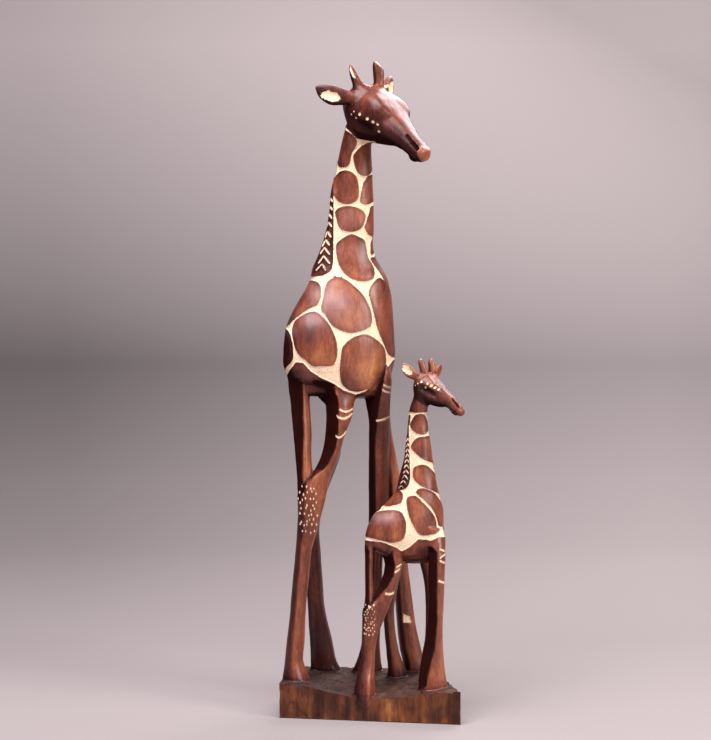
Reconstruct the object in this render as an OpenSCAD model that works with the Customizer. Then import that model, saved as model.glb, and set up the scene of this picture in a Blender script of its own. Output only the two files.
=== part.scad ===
// Carved wooden giraffe mother with her calf, standing on one rough-hewn block.
// Everything is cut from a single length of timber, so the nodes below are the
// carved members. They meet face to face where the carving changes form: jaw,
// ear root, shoulder, hip, hock and hoof. Millimetres, +Z up, the animals face +X,
// the origin is under the middle of the bounding box.

/* [Overall] */
// Height from the underside of the block to the tip of the mother's left horn
total_height = 800; // [600:10:1000]
// Thickness factor of all eight legs
leg_girth = 1.0; // [0.9:0.05:1.1]
// Depth factor of the two barrels, across the body
barrel_depth = 1.0; // [0.92:0.02:1.06]

/* [Base block] */
// Height of the block at its left front corner
base_left_h = 43; // [38:1:48]
// Height of the block at its right front corner
base_right_h = 40; // [36:1:46]
// Depth of the hollow scooped into the front edge
base_scoop = 13; // [4:1:15]
// Width of the block along its front edge, left end to right end
base_w = 221; // [218:1:224]

/* [Mother] */
// Length of the right ear, skull to tip
mother_ear_l = 47; // [36:1:50]
// Radius of the horns where they leave the skull
mother_horn_r = 7.5; // [6:0.5:9]
// How far the mane stands out from the neck
mother_mane_out = 8; // [6:0.5:10]

/* [Calf] */
// Length of the right ear, skull to tip
calf_ear_l = 27; // [20:1:30]
// Radius of the horns where they leave the skull
calf_horn_r = 4; // [3:0.5:5]
// How far the mane stands out from the neck
calf_mane_out = 5; // [4:0.5:6]

/* [Fineness] */
// Corners round a barrel or a head
sides_big = 20; // [16:2:24]
// Corners round a leg
sides_leg = 14; // [12:2:16]
// Corners round an ear, a horn, a mane or a tail
sides_small = 12; // [10:2:14]

/* [Hidden] */

stained = "#8a4630";
dark = "#4a1f18";
block = "#5c3526";

k = total_height / 800;
g = leg_girth;
d = barrel_depth;

// Smooth curve through the rows of a station table, two steps to a span.
// A row is [height, centre x, centre y, half width x, half width y, turn about z].
function mix4(p, q, r, s) = (9 * (q + r) - p - s) / 16;
function at(S, i) = S[max(0, min(len(S) - 1, i))];
function finer(S) = [for (i = [0 : len(S) - 2]) for (h = [0, 1])
    h == 0 ? S[i] : mix4(at(S, i - 1), S[i], S[i + 1], at(S, i + 2)), S[len(S) - 1]];

// One ring of points of a section, an ellipse turned about its own middle.
function ring(s, n) = [for (j = [0 : n - 1])
    let (w = 360 * j / n, p = s[3] * cos(w), q = s[4] * sin(w))
    k * [s[1] + p * cos(s[5]) - q * sin(s[5]), s[2] + p * sin(s[5]) + q * cos(s[5]), s[0]]];

// Closed solid through a station table, from its lowest row to its highest.
module body_of(S, n) {
    R = finer(S);
    m = len(R);
    pts = [for (r = R) each ring(r, n)];
    walls = [for (i = [0 : m - 2]) for (j = [0 : n - 1]) for (h = [0, 1])
        let (a = i * n + j, b = i * n + (j + 1) % n)
        h == 0 ? [a, a + n, b + n] : [a, b + n, b]];
    low = [for (j = [0 : n - 1]) j];
    high = [for (j = [n - 1 : -1 : 0]) (m - 1) * n + j];
    polyhedron(pts, concat(walls, [low, high]), convexity = 6);
}

// Stands a solid made along +Z on a point, leaning by lean from the vertical towards
// the compass angle toward.
module lay(p, lean, toward) { translate(k * p) rotate([0, lean, toward]) children(); }

// Keeps the rows between two heights.
function between(S, lo, hi) = [for (s = S) if (s[0] >= lo && s[0] <= hi) s];

// ---- Mother ----
// Belly, barrel, shoulders and neck in one run of sections
mother_trunk = [
    [388, -14, 20, 10, 10 * d, 14], [391, -15, 20, 22, 20 * d, 14], [397, -22, 20, 36, 29 * d, 14],
    [408, -34, 19, 56, 37 * d, 14], [423, -39, 19, 67, 42 * d, 14], [445, -39, 19, 70, 45 * d, 14],
    [458, -39, 19, 69, 45 * d, 14], [477, -38, 20, 67, 44 * d, 13], [503, -33, 20, 60, 40 * d, 12],
    [521, -29, 20, 53, 36, 10], [538, -27, 20, 46, 31, 8], [551, -28, 20, 39, 27, 6],
    [562, -29, 19, 34, 24, 4], [578, -28, 19, 30, 22, 0], [595, -25, 18, 28, 21, 0],
    [615, -23, 18, 26, 20, 0], [644, -22, 17, 24, 19, 0], [668, -21, 16, 22, 18, 0],
    [702, -18, 14, 18, 17, 0], [722, -15, 12, 16, 16, 0]];
mother_withers = 538;
// Near hind leg: flared foot, shank, hock, thigh
mother_rh = [
    [30, -92, -6, 20, 22 * g, 0], [40, -92, -5, 18 * g, 20 * g, 0], [47, -93, -5, 16 * g, 18 * g, 0],
    [62, -95, -5, 12 * g, 15 * g, 0], [91, -93, -5, 11 * g, 14 * g, 0], [115, -91, -5, 10 * g, 13 * g, 0],
    [173, -86, -5, 10 * g, 13 * g, 0], [203, -83, -5, 10 * g, 13 * g, 0], [231, -78, -5, 13 * g, 14 * g, 0],
    [250, -75, -5, 15 * g, 15 * g, 0], [271, -72, -5, 17 * g, 15 * g, 0], [289, -67, -4, 16 * g, 16 * g, 0],
    [302, -58, -4, 12 * g, 16 * g, 0], [320, -50, -4, 11 * g, 17 * g, 0], [346, -44, -4, 12 * g, 18 * g, 0],
    [369, -39, -3, 16 * g, 19 * g, 0], [383, -40, -2, 19, 19, 0], [392, -49, -1, 31, 20, 0],
    [402, -50, 0, 35, 20, 0], [412, -47, 0, 35, 20, 0], [426, -38, 2, 31, 18, 0]];
// Tail strut from rump to hock
mother_tl = [
    [265, -80, -5, 10, 10, 0], [292, -81, -4, 10, 11, 0], [314, -83, -3, 10, 11, 0],
    [348, -85, 0, 12, 12, 0], [387, -89, 2, 14, 13, 0], [407, -90, 3, 15, 15, 0],
    [424, -87, 5, 17, 17, 0], [436, -82, 8, 18, 18, 0]];
mother_lh = [
    [28, -55, 53, 24, 14, 0], [38, -55, 53, 22 * g, 13 * g, 0], [46, -58, 53, 19 * g, 12 * g, 0],
    [66, -61, 52, 16 * g, 12 * g, 0], [88, -64, 52, 14 * g, 12 * g, 0], [124, -69, 51, 11 * g, 12 * g, 0],
    [156, -71, 50, 11 * g, 12 * g, 0], [184, -73, 49, 11 * g, 12 * g, 0], [223, -75, 48, 11 * g, 13 * g, 0],
    [258, -71, 46, 13 * g, 14 * g, 0], [283, -63, 45, 14 * g, 15 * g, 0], [315, -50, 43, 12 * g, 16 * g, 0],
    [341, -46, 42, 11 * g, 17 * g, 0], [371, -41, 41, 15 * g, 17 * g, 0], [396, -37, 39, 21, 18, 0],
    [415, -36, 36, 26, 18, 0], [428, -36, 35, 26, 16, 0]];
mother_rf = [
    [28, -5, 49, 22, 17, 0], [39, -4, 49, 20 * g, 16 * g, 0], [48, -3, 49, 17 * g, 14 * g, 0],
    [65, -1, 48, 13 * g, 13 * g, 0], [115, 2, 46, 11 * g, 12 * g, 0], [157, 4, 43, 10 * g, 12 * g, 0],
    [183, 5, 41, 10 * g, 12 * g, 0], [234, 9, 37, 12 * g, 13 * g, 0], [291, 10, 30, 13 * g, 14 * g, 0],
    [338, 10, 22, 13 * g, 15 * g, 0], [361, 10, 18, 13 * g, 16 * g, 0], [391, 8, 13, 16, 17, 0],
    [411, 9, 10, 16, 18, 0], [430, 6, 12, 16, 18, 0]];
mother_lf = [
    [24, 56, 50, 18, 15, 0], [35, 55, 50, 17 * g, 14 * g, 0], [44, 55, 50, 15 * g, 13 * g, 0],
    [68, 50, 50, 14 * g, 12 * g, 0], [104, 44, 49, 12 * g, 12 * g, 0], [135, 41, 48, 11 * g, 12 * g, 0],
    [181, 37, 47, 9 * g, 12 * g, 0], [214, 34, 46, 9 * g, 12 * g, 0], [258, 30, 44, 9 * g, 13 * g, 0],
    [290, 26, 42, 10 * g, 14 * g, 0], [337, 17, 38, 10 * g, 15 * g, 0], [359, 14, 36, 10 * g, 16 * g, 0],
    [389, 12, 34, 12, 17, 0], [409, 12, 33, 14, 18, 0], [428, 8, 32, 14, 18, 0]];
mother_mn = [
    [538, -69, 12, 5, 7, 0], [548, -64, 12, mother_mane_out, 10, 0], [562, -58, 12, mother_mane_out, 10, 0],
    [578, -53, 12, mother_mane_out - 1, 9, 0], [595, -49, 12, mother_mane_out - 2, 8, 0],
    [615, -46, 12, mother_mane_out - 2.5, 7, 0], [644, -44, 12, mother_mane_out - 3, 5, 0],
    [658, -42, 13, 3, 3, 0]];
// Head, back of the skull to the lip: [along, down, across, half height, half width]
mother_hd = [
    [-43, 0, 0, 5, 6, 0], [-37, 0, 0, 17, 19, 0], [-25, 1, 0, 26, 28, 0], [-10, 3, 0, 32, 32, 0],
    [5, 3, 0, 33, 33, 0], [20, 1, 0, 29, 32, 0], [35, 0, 0, 24, 26, 0], [55, -1, 0, 16, 19, 0],
    [74, 1, 0, 12, 14, 0], [87, 2, 0, 11, 13, 0], [95, 2, 0, 10, 11, 0], [101, 3, 0, 4, 5, 0]];
mother_hd_at = [4, 6, 737];
mother_hd_lean = 122;
mother_hd_toward = -43;
mother_rhorn = [
    [742, -6, 1, mother_horn_r + 1.5, mother_horn_r + 0.5, 0], [762, -13, 0, mother_horn_r + 0.5, mother_horn_r, 0],
    [770, -16, 0, 7, 6, 0], [782, -21, 0, 5.5, 5, 0], [791, -24, 0, 3.5, 3.5, 0], [795, -25, 0, 1.5, 1.5, 0]];
mother_lhorn = [
    [742, 11, 18, mother_horn_r, mother_horn_r, 0], [764, 10, 18, mother_horn_r - 1, mother_horn_r - 0.5, 0],
    [776, 9, 17, 6.5, 6, 0], [788, 8.5, 16, 7, 5.5, 0], [796, 6.5, 16, 5, 4.5, 0], [800, 5, 16, 2.5, 2.5, 0]];
function ear(l, w, t) = [
    [-0.2 * l, 0, 0, 0.5 * w, t, 0], [0, 0, 0, 0.62 * w, t, 0], [0.25 * l, 0.15 * w, 0, 0.85 * w, 0.9 * t, 0],
    [0.5 * l, 0.25 * w, 0, w, 0.8 * t, 0], [0.75 * l, 0.2 * w, 0, 0.8 * w, 0.7 * t, 0],
    [0.92 * l, 0.05 * w, 0, 0.45 * w, 0.5 * t, 0], [l, -0.1 * w, 0, 0.12 * w, 0.2 * t, 0]];

// ---- Calf ----
calf_trunk = [
    [189, 52, -15, 12, 9 * d, 0], [194, 51, -15, 27, 18 * d, 4], [200, 48, -15, 37, 23 * d, 6],
    [211, 43, -15, 47, 27 * d, 8], [222, 42, -15, 48, 29 * d, 8], [235, 43, -15, 46, 29 * d, 8],
    [246, 45, -15, 44, 28 * d, 8], [263, 52, -16, 34, 23, 6], [277, 56, -16, 26, 20, 4],
    [291, 57, -16, 22, 17, 0], [317, 58, -16, 17, 14, 0], [332, 58, -16, 15, 13, 0],
    [351, 57, -16, 13, 12, 0], [364, 57, -16, 12, 11, 0], [379, 58, -16, 11, 11, 0],
    [392, 62, -17, 11, 11, 0], [402, 64, -18, 10, 10, 0]];
calf_withers = 277;
calf_rh = [
    [15, -8, -39, 17, 13, 0], [25, -8, -38, 15, 13 * g, 0], [38, -8, -36, 13 * g, 12 * g, 0],
    [72, -4, -35, 9 * g, 9 * g, 0], [102, -2, -34, 10 * g, 9 * g, 0], [120, 2, -33, 13 * g, 9 * g, 0],
    [137, 6, -33, 15, 10 * g, 0], [147, 13, -32, 12, 10 * g, 0], [159, 18, -32, 11 * g, 10 * g, 0],
    [170, 21, -31, 11 * g, 11 * g, 0], [186, 24, -30, 12 * g, 11 * g, 0], [201, 25, -29, 15, 12, 0],
    [213, 26, -27, 16, 13, 0], [226, 29, -24, 15, 12, 0]];
calf_tl = [
    [125, -3, -33, 5, 6, 0], [137, -3, -33, 5, 6, 0], [158, -3, -31, 5, 6, 0], [194, -3, -28, 5, 7, 0],
    [216, -2, -26, 6, 8, 0], [230, 1, -23, 7, 9, 0], [238, 4, -22, 7, 9, 0]];
calf_lh = [
    [22, 33, 18, 17, 12, 0], [32, 33, 18, 16 * g, 11 * g, 0], [42, 33, 18, 13 * g, 10 * g, 0],
    [72, 27, 16, 8 * g, 8 * g, 0], [103, 23, 14, 7 * g, 8 * g, 0], [131, 22, 12, 7 * g, 8 * g, 0],
    [150, 24, 10, 8 * g, 9 * g, 0], [176, 29, 6, 8 * g, 10 * g, 0], [196, 30, 2, 9, 10, 0],
    [208, 30, 0, 12, 11, 0], [222, 32, -4, 13, 11, 0]];
calf_rf = [
    [22, 75, -42, 20, 15, 0], [31, 75, -42, 19 * g, 14 * g, 0], [39, 75, -42, 18 * g, 13 * g, 0],
    [59, 74, -42, 16 * g, 11 * g, 0], [96, 75, -41, 12 * g, 10 * g, 0], [118, 77, -40, 10 * g, 10 * g, 0],
    [147, 79, -38, 9 * g, 10 * g, 0], [171, 79, -36, 10 * g, 11 * g, 0], [207, 79, -31, 11, 13, 0],
    [221, 77, -27, 13, 13, 0], [234, 73, -24, 14, 12, 0]];
calf_lf = [
    [24, 72, -4, 13, 9, 0], [33, 72, -4, 12 * g, 9 * g, 0], [41, 72, -4, 11 * g, 8 * g, 0],
    [76, 74, -3, 9 * g, 8 * g, 0], [114, 75, -2, 8 * g, 8 * g, 0], [162, 73, -1, 8 * g, 9 * g, 0],
    [177, 71, -1, 9 * g, 10 * g, 0], [192, 68, -2, 10, 11, 0], [205, 68, -4, 14, 11, 0],
    [218, 68, -6, 15, 11, 0]];
calf_mn = [
    [280, 35, -20, 4, 4, 0], [291, 38, -20, calf_mane_out, 5, 0], [304, 41, -20, calf_mane_out - 0.5, 5, 0],
    [317, 44, -20, calf_mane_out - 1, 4.5, 0], [332, 45, -20, calf_mane_out - 1.5, 4, 0],
    [347, 46, -20, 3, 3, 0]];
calf_hd = [
    [-18, 0, 0, 4, 4, 0], [-14, 0, 0, 11, 11, 0], [-7, 1, 0, 16, 16, 0], [1, 1, 0, 18, 17, 0],
    [12, 1, 0, 16, 15, 0], [25, 0, 0, 12, 12, 0], [37, -2, 0, 8, 9, 0], [47, 0, 0, 8, 8, 0],
    [54, 0, 0, 6, 6, 0], [57.5, 0, 0, 2, 2, 0]];
calf_hd_at = [68.5, -18, 405];
calf_hd_lean = 123;
calf_hd_toward = -27;
calf_rhorn = [
    [408, 66, -19, calf_horn_r, calf_horn_r, 0], [423, 64, -20, calf_horn_r, calf_horn_r, 0],
    [430, 62, -20, 3.5, 3.5, 0], [437, 60, -20, 3, 3, 0], [440, 60, -20, 1.5, 1.5, 0]];
calf_lhorn = [
    [408, 74, -11, calf_horn_r, calf_horn_r, 0], [422, 74, -10, calf_horn_r, calf_horn_r, 0],
    [429, 73, -10, 3.5, 3.5, 0], [436, 73, -10, 3, 3, 0], [439, 73, -10, 1.5, 1.5, 0]];

// ---- Solids before they are fitted to each other ----
module mother_head_form() {
    lay(mother_hd_at, mother_hd_lean, mother_hd_toward) body_of(mother_hd, sides_big);
}
module calf_head_form() {
    lay(calf_hd_at, calf_hd_lean, calf_hd_toward) body_of(calf_hd, sides_big);
}
module mother_torso_form() body_of(between(mother_trunk, 0, mother_withers), sides_big);
module mother_neck_form() body_of(between(mother_trunk, mother_withers, 999), sides_big);
module calf_torso_form() body_of(between(calf_trunk, 0, calf_withers), sides_big);
module calf_neck_form() body_of(between(calf_trunk, calf_withers, 999), sides_big);

// Four corners of the block in plan, and its top, which dips towards the middle of
// the front edge where the waste between the feet was chopped away.
fl = [-113, -32];
fr = [-113 + base_w, -68];
br = [77, 68];
bl = [-100, 67];
function plan(s, t) = (1 - t) * ((1 - s) * fl + s * fr) + t * ((1 - s) * bl + s * br);
function top_z(s, t) = (1 - s) * base_left_h + s * base_right_h
    - base_scoop * pow(sin(180 * s), 2) * pow(1 - t, 1.5) - 2 * sin(180 * t) * sin(360 * s);
module base_form() {
    nx = 14;
    ny = 8;
    up = [for (j = [0 : ny]) for (i = [0 : nx])
        let (p = plan(i / nx, j / ny)) k * [p[0], p[1], top_z(i / nx, j / ny)]];
    rim = concat([for (i = [0 : nx - 1]) i], [for (j = [0 : ny - 1]) j * (nx + 1) + nx],
        [for (i = [nx : -1 : 1]) ny * (nx + 1) + i], [for (j = [ny : -1 : 1]) j * (nx + 1)]);
    m = len(up);
    r = len(rim);
    down = [for (v = rim) [up[v][0], up[v][1], 0]];
    tops = [for (j = [0 : ny - 1]) for (i = [0 : nx - 1]) for (h = [0, 1])
        let (a = j * (nx + 1) + i)
        h == 0 ? [a, a + nx + 2, a + 1] : [a, a + nx + 1, a + nx + 2]];
    walls = [for (i = [0 : r - 1]) for (h = [0, 1])
        let (a = rim[i], b = rim[(i + 1) % r], c = m + i, e = m + (i + 1) % r)
        h == 0 ? [a, b, e] : [a, e, c]];
    floors = [for (i = [0 : r - 1]) [m + i, m + (i + 1) % r, m + r]];
    polyhedron(concat(up, down, [[0, 0, 0]]), concat(tops, walls, floors), convexity = 4);
}

// ---- Nodes ----
module base_block() color(block) base_form();

module mother_torso() color(stained) mother_torso_form();
module mother_neck() color(stained) difference() { mother_neck_form(); mother_head_form(); }
module mother_mane() color(dark) difference() {
    body_of(mother_mn, sides_small);
    mother_neck_form();
    mother_torso_form();
}
module mother_head() color(dark) mother_head_form();
module mother_right_ear() color(dark) difference() {
    lay([-23, -8, 754], 75, 188) body_of(ear(mother_ear_l, 12, 5), sides_small);
    mother_head_form();
}
module mother_left_ear() color(dark) difference() {
    lay([13, 28, 759], 52, 70) body_of(ear(mother_ear_l * 0.8, 11, 5), sides_small);
    mother_head_form();
    body_of(mother_lhorn, sides_small);
}
module mother_right_horn() color(dark) difference() {
    body_of(mother_rhorn, sides_small);
    mother_head_form();
}
module mother_left_horn() color(dark) difference() {
    body_of(mother_lhorn, sides_small);
    mother_head_form();
}
module mother_tail() color(stained) difference() {
    body_of(mother_tl, sides_small);
    mother_torso_form();
    body_of(mother_rh, sides_leg);
}
module mother_right_hind_leg() color(stained) difference() {
    body_of(mother_rh, sides_leg);
    mother_torso_form();
    base_form();
}
module mother_left_hind_leg() color(stained) difference() {
    body_of(mother_lh, sides_leg);
    mother_torso_form();
    base_form();
}
module mother_right_fore_leg() color(stained) difference() {
    body_of(mother_rf, sides_leg);
    mother_torso_form();
    base_form();
}
module mother_left_fore_leg() color(stained) difference() {
    body_of(mother_lf, sides_leg);
    mother_torso_form();
    body_of(mother_rf, sides_leg);
    base_form();
}

module calf_torso() color(stained) calf_torso_form();
module calf_neck() color(stained) difference() { calf_neck_form(); calf_head_form(); }
module calf_mane() color(dark) difference() {
    body_of(calf_mn, sides_small);
    calf_neck_form();
    calf_torso_form();
}
module calf_head() color(stained) calf_head_form();
module calf_right_ear() color(stained) difference() {
    lay([58, -22, 416], 50, 186) body_of(ear(calf_ear_l, 7, 3), sides_small);
    calf_head_form();
}
module calf_left_ear() color(stained) difference() {
    lay([76, -6, 416], 46, 50) body_of(ear(calf_ear_l * 0.8, 6, 3), sides_small);
    calf_head_form();
    body_of(calf_lhorn, sides_small);
}
module calf_right_horn() color(stained) difference() {
    body_of(calf_rhorn, sides_small);
    calf_head_form();
}
module calf_left_horn() color(stained) difference() {
    body_of(calf_lhorn, sides_small);
    calf_head_form();
}
module calf_tail() color(stained) difference() {
    body_of(calf_tl, sides_small);
    calf_torso_form();
    body_of(calf_rh, sides_leg);
}
module calf_right_hind_leg() color(stained) difference() {
    body_of(calf_rh, sides_leg);
    calf_torso_form();
    base_form();
}
module calf_left_hind_leg() color(stained) difference() {
    body_of(calf_lh, sides_leg);
    calf_torso_form();
    base_form();
}
module calf_right_fore_leg() color(stained) difference() {
    body_of(calf_rf, sides_leg);
    calf_torso_form();
    base_form();
}
module calf_left_fore_leg() color(stained) difference() {
    body_of(calf_lf, sides_leg);
    calf_torso_form();
    base_form();
}

base_block();
mother_torso();
mother_neck();
mother_mane();
mother_head();
mother_right_ear();
mother_left_ear();
mother_right_horn();
mother_left_horn();
mother_tail();
mother_right_hind_leg();
mother_left_hind_leg();
mother_right_fore_leg();
mother_left_fore_leg();
calf_torso();
calf_neck();
calf_mane();
calf_head();
calf_right_ear();
calf_left_ear();
calf_right_horn();
calf_left_horn();
calf_tail();
calf_right_hind_leg();
calf_left_hind_leg();
calf_right_fore_leg();
calf_left_fore_leg();
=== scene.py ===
"""Looks for the carved giraffe statue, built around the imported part.
One wooden block was carved into everything, so the surface is worked out as one skin
in millimetres, carved, and then parted along the lines between the named pieces."""
import math
import bpy
import numpy as np
import openvdb as vdb
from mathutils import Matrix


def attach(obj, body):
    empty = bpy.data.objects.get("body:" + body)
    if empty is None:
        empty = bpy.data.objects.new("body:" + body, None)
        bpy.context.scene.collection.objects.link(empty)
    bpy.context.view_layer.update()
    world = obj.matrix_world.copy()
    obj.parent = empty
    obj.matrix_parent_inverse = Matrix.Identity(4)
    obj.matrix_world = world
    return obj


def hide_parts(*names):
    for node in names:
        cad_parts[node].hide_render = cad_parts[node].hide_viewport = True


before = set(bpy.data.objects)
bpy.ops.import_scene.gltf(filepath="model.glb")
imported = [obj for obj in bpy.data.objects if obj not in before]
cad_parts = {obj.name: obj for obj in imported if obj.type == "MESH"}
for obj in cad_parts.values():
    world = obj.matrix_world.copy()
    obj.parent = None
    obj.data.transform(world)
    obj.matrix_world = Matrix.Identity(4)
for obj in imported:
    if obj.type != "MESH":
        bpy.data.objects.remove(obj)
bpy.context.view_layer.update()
H = 1.1  # grid spacing, mm
rng = np.random.default_rng(7)

# ---------------------------------------------------------------- stations, mm
# [z, cx, cy, half x, half y, turn]; heads and ears run along their own axis
T = {}
T["m_trunk"] = [
    [388, -14, 20, 10, 10, 14], [391, -15, 20, 22, 20, 14], [397, -22, 20, 36, 29, 14], [408, -34, 19, 56, 37, 14],
    [423, -39, 19, 67, 42, 14], [445, -39, 19, 70, 45, 14], [458, -39, 19, 69, 45, 14], [477, -38, 20, 67, 44, 13],
    [503, -33, 20, 60, 40, 12], [521, -29, 20, 53, 36, 10], [538, -27, 20, 46, 31, 8], [551, -28, 20, 39, 27, 6],
    [562, -29, 19, 34, 24, 4], [578, -28, 19, 30, 22, 0], [595, -25, 18, 28, 21, 0], [615, -23, 18, 26, 20, 0],
    [644, -22, 17, 24, 19, 0], [668, -21, 16, 22, 18, 0], [702, -18, 14, 18, 17, 0], [722, -15, 12, 16, 16, 0]]
T["m_rh"] = [
    [30, -92, -6, 20, 22], [40, -92, -5, 18, 20], [47, -93, -5, 16, 18], [62, -95, -5, 12, 15], [91, -93, -5, 11, 14],
    [115, -91, -5, 10, 13], [173, -86, -5, 10, 13], [203, -83, -5, 10, 13], [231, -78, -5, 13, 14], [250, -75, -5, 15, 15],
    [271, -72, -5, 17, 15], [289, -67, -4, 16, 16], [302, -58, -4, 12, 16], [320, -50, -4, 11, 17], [346, -44, -4, 12, 18],
    [369, -39, -3, 16, 19], [383, -40, -2, 19, 19], [392, -49, -1, 31, 20], [402, -50, 0, 35, 20], [412, -47, 0, 35, 20],
    [426, -38, 2, 31, 18]]
T["m_tl"] = [
    [265, -80, -5, 10, 10], [292, -81, -4, 10, 11], [314, -83, -3, 10, 11], [348, -85, 0, 12, 12], [387, -89, 2, 14, 13],
    [407, -90, 3, 15, 15], [424, -87, 5, 17, 17], [436, -82, 8, 18, 18]]
T["m_lh"] = [
    [28, -55, 53, 24, 14], [38, -55, 53, 22, 13], [46, -58, 53, 19, 12], [66, -61, 52, 16, 12], [88, -64, 52, 14, 12],
    [124, -69, 51, 11, 12], [156, -71, 50, 11, 12], [184, -73, 49, 11, 12], [223, -75, 48, 11, 13], [258, -71, 46, 13, 14],
    [283, -63, 45, 14, 15], [315, -50, 43, 12, 16], [341, -46, 42, 11, 17], [371, -41, 41, 15, 17], [396, -37, 39, 21, 18],
    [415, -36, 36, 26, 18], [428, -36, 35, 26, 16]]
T["m_rf"] = [
    [28, -5, 49, 22, 17], [39, -4, 49, 20, 16], [48, -3, 49, 17, 14], [65, -1, 48, 13, 13], [115, 2, 46, 11, 12],
    [157, 4, 43, 10, 12], [183, 5, 41, 10, 12], [234, 9, 37, 12, 13], [291, 10, 30, 13, 14], [338, 10, 22, 13, 15],
    [361, 10, 18, 13, 16], [391, 8, 13, 16, 17], [411, 9, 10, 16, 18], [430, 6, 12, 16, 18]]
T["m_lf"] = [
    [24, 56, 50, 18, 15], [35, 55, 50, 17, 14], [44, 55, 50, 15, 13], [68, 50, 50, 14, 12], [104, 44, 49, 12, 12],
    [135, 41, 48, 11, 12], [181, 37, 47, 9, 12], [214, 34, 46, 9, 12], [258, 30, 44, 9, 13], [290, 26, 42, 10, 14],
    [337, 17, 38, 10, 15], [359, 14, 36, 10, 16], [389, 12, 34, 12, 17], [409, 12, 33, 14, 18], [428, 8, 32, 14, 18]]
T["m_mn"] = [
    [538, -69, 12, 5, 7], [548, -64, 12, 8, 10], [562, -58, 12, 8, 10], [578, -53, 12, 7, 9], [595, -49, 12, 6, 8],
    [615, -46, 12, 5.5, 7], [644, -44, 12, 5, 5], [658, -42, 13, 3, 3]]
T["m_hd"] = [
    [-43, 0, 0, 5, 6], [-37, 0, 0, 17, 19], [-25, 1, 0, 26, 28], [-10, 3, 0, 32, 32], [5, 3, 0, 33, 33], [20, 1, 0, 29, 32],
    [35, 0, 0, 24, 26], [55, -1, 0, 16, 19], [74, 1, 0, 12, 14], [87, 2, 0, 11, 13], [95, 2, 0, 10, 11], [101, 3, 0, 4, 5]]
T["m_rn"] = [
    [742, -6, 1, 9, 8], [762, -13, 0, 8, 7.5], [770, -16, 0, 7, 6], [782, -21, 0, 5.5, 5], [791, -24, 0, 3.5, 3.5],
    [795, -25, 0, 1.5, 1.5]]
T["m_ln"] = [
    [742, 11, 18, 7.5, 7.5], [764, 10, 18, 6.5, 7], [776, 9, 17, 6.5, 6], [788, 8.5, 16, 7, 5.5], [796, 6.5, 16, 5, 4.5],
    [800, 5, 16, 2.5, 2.5]]
T["c_trunk"] = [
    [189, 52, -15, 12, 9, 0], [194, 51, -15, 27, 18, 4], [200, 48, -15, 37, 23, 6], [211, 43, -15, 47, 27, 8],
    [222, 42, -15, 48, 29, 8], [235, 43, -15, 46, 29, 8], [246, 45, -15, 44, 28, 8], [263, 52, -16, 34, 23, 6],
    [277, 56, -16, 26, 20, 4], [291, 57, -16, 22, 17, 0], [317, 58, -16, 17, 14], [332, 58, -16, 15, 13],
    [351, 57, -16, 13, 12], [364, 57, -16, 12, 11], [379, 58, -16, 11, 11], [392, 62, -17, 11, 11], [402, 64, -18, 10, 10]]
T["c_rh"] = [
    [12, -8, -36, 14, 12], [25, -8, -40, 14, 13], [38, -8, -40, 13, 13], [72, -4, -35, 9, 9], [102, -2, -34, 10, 9],
    [120, 2, -33, 13, 9], [137, 6, -33, 15, 10], [147, 13, -32, 12, 10], [159, 18, -32, 11, 10], [170, 21, -31, 11, 11],
    [186, 24, -30, 12, 11], [201, 25, -29, 15, 12], [213, 26, -27, 16, 13], [226, 29, -24, 15, 12]]
T["c_tl"] = [
    [125, -3, -33, 5, 6], [137, -3, -33, 5, 6], [158, -3, -31, 5, 6], [194, -3, -28, 5, 7], [216, -2, -26, 6, 8],
    [230, 1, -23, 7, 9], [238, 4, -22, 7, 9]]
T["c_lh"] = [
    [22, 33, 18, 17, 12], [32, 33, 18, 16, 11], [42, 33, 18, 13, 10], [72, 27, 16, 8, 8], [103, 23, 14, 7, 8],
    [131, 22, 12, 7, 8], [150, 24, 10, 8, 9], [176, 29, 6, 8, 10], [196, 30, 2, 9, 10], [208, 30, 0, 12, 11],
    [222, 32, -4, 13, 11]]
T["c_rf"] = [
    [22, 75, -42, 20, 15], [31, 75, -42, 19, 14], [39, 75, -42, 18, 13], [59, 74, -42, 16, 11], [96, 75, -41, 12, 10],
    [118, 77, -40, 10, 10], [147, 79, -38, 9, 10], [171, 79, -36, 10, 11], [207, 79, -31, 11, 13], [221, 77, -27, 13, 13],
    [234, 73, -24, 14, 12]]
T["c_lf"] = [
    [24, 72, -4, 13, 9], [33, 72, -4, 12, 9], [41, 72, -4, 11, 8], [76, 74, -3, 9, 8], [114, 75, -2, 8, 8],
    [162, 73, -1, 8, 9], [177, 71, -1, 9, 10], [192, 68, -2, 10, 11], [205, 68, -4, 14, 11], [218, 68, -6, 15, 11]]
T["c_mn"] = [
    [280, 35, -20, 4, 4], [291, 38, -20, 5, 5], [304, 41, -20, 4.5, 5], [317, 44, -20, 4, 4.5], [332, 45, -20, 3.5, 4],
    [347, 46, -20, 3, 3]]
T["c_hd"] = [
    [-18, 0, 0, 4, 4], [-14, 0, 0, 11, 11], [-7, 1, 0, 16, 16], [1, 1, 0, 18, 17], [12, 1, 0, 16, 15], [25, 0, 0, 12, 12],
    [37, -2, 0, 8, 9], [47, 0, 0, 8, 8], [54, 0, 0, 6, 6], [57.5, 0, 0, 2, 2]]
T["c_rn"] = [[408, 66, -19, 5, 4], [423, 64, -20, 5, 4], [430, 62, -20, 4.5, 3.8], [437, 60, -20, 3.4, 3.2], [440, 60, -20, 1.5, 1.5]]
T["c_ln"] = [[408, 75, -11, 6, 4], [422, 75, -10, 5.5, 4], [429, 74, -10, 4.6, 4], [436, 73, -10, 3.4, 3], [439, 73, -10, 1.5, 1.5]]


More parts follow.
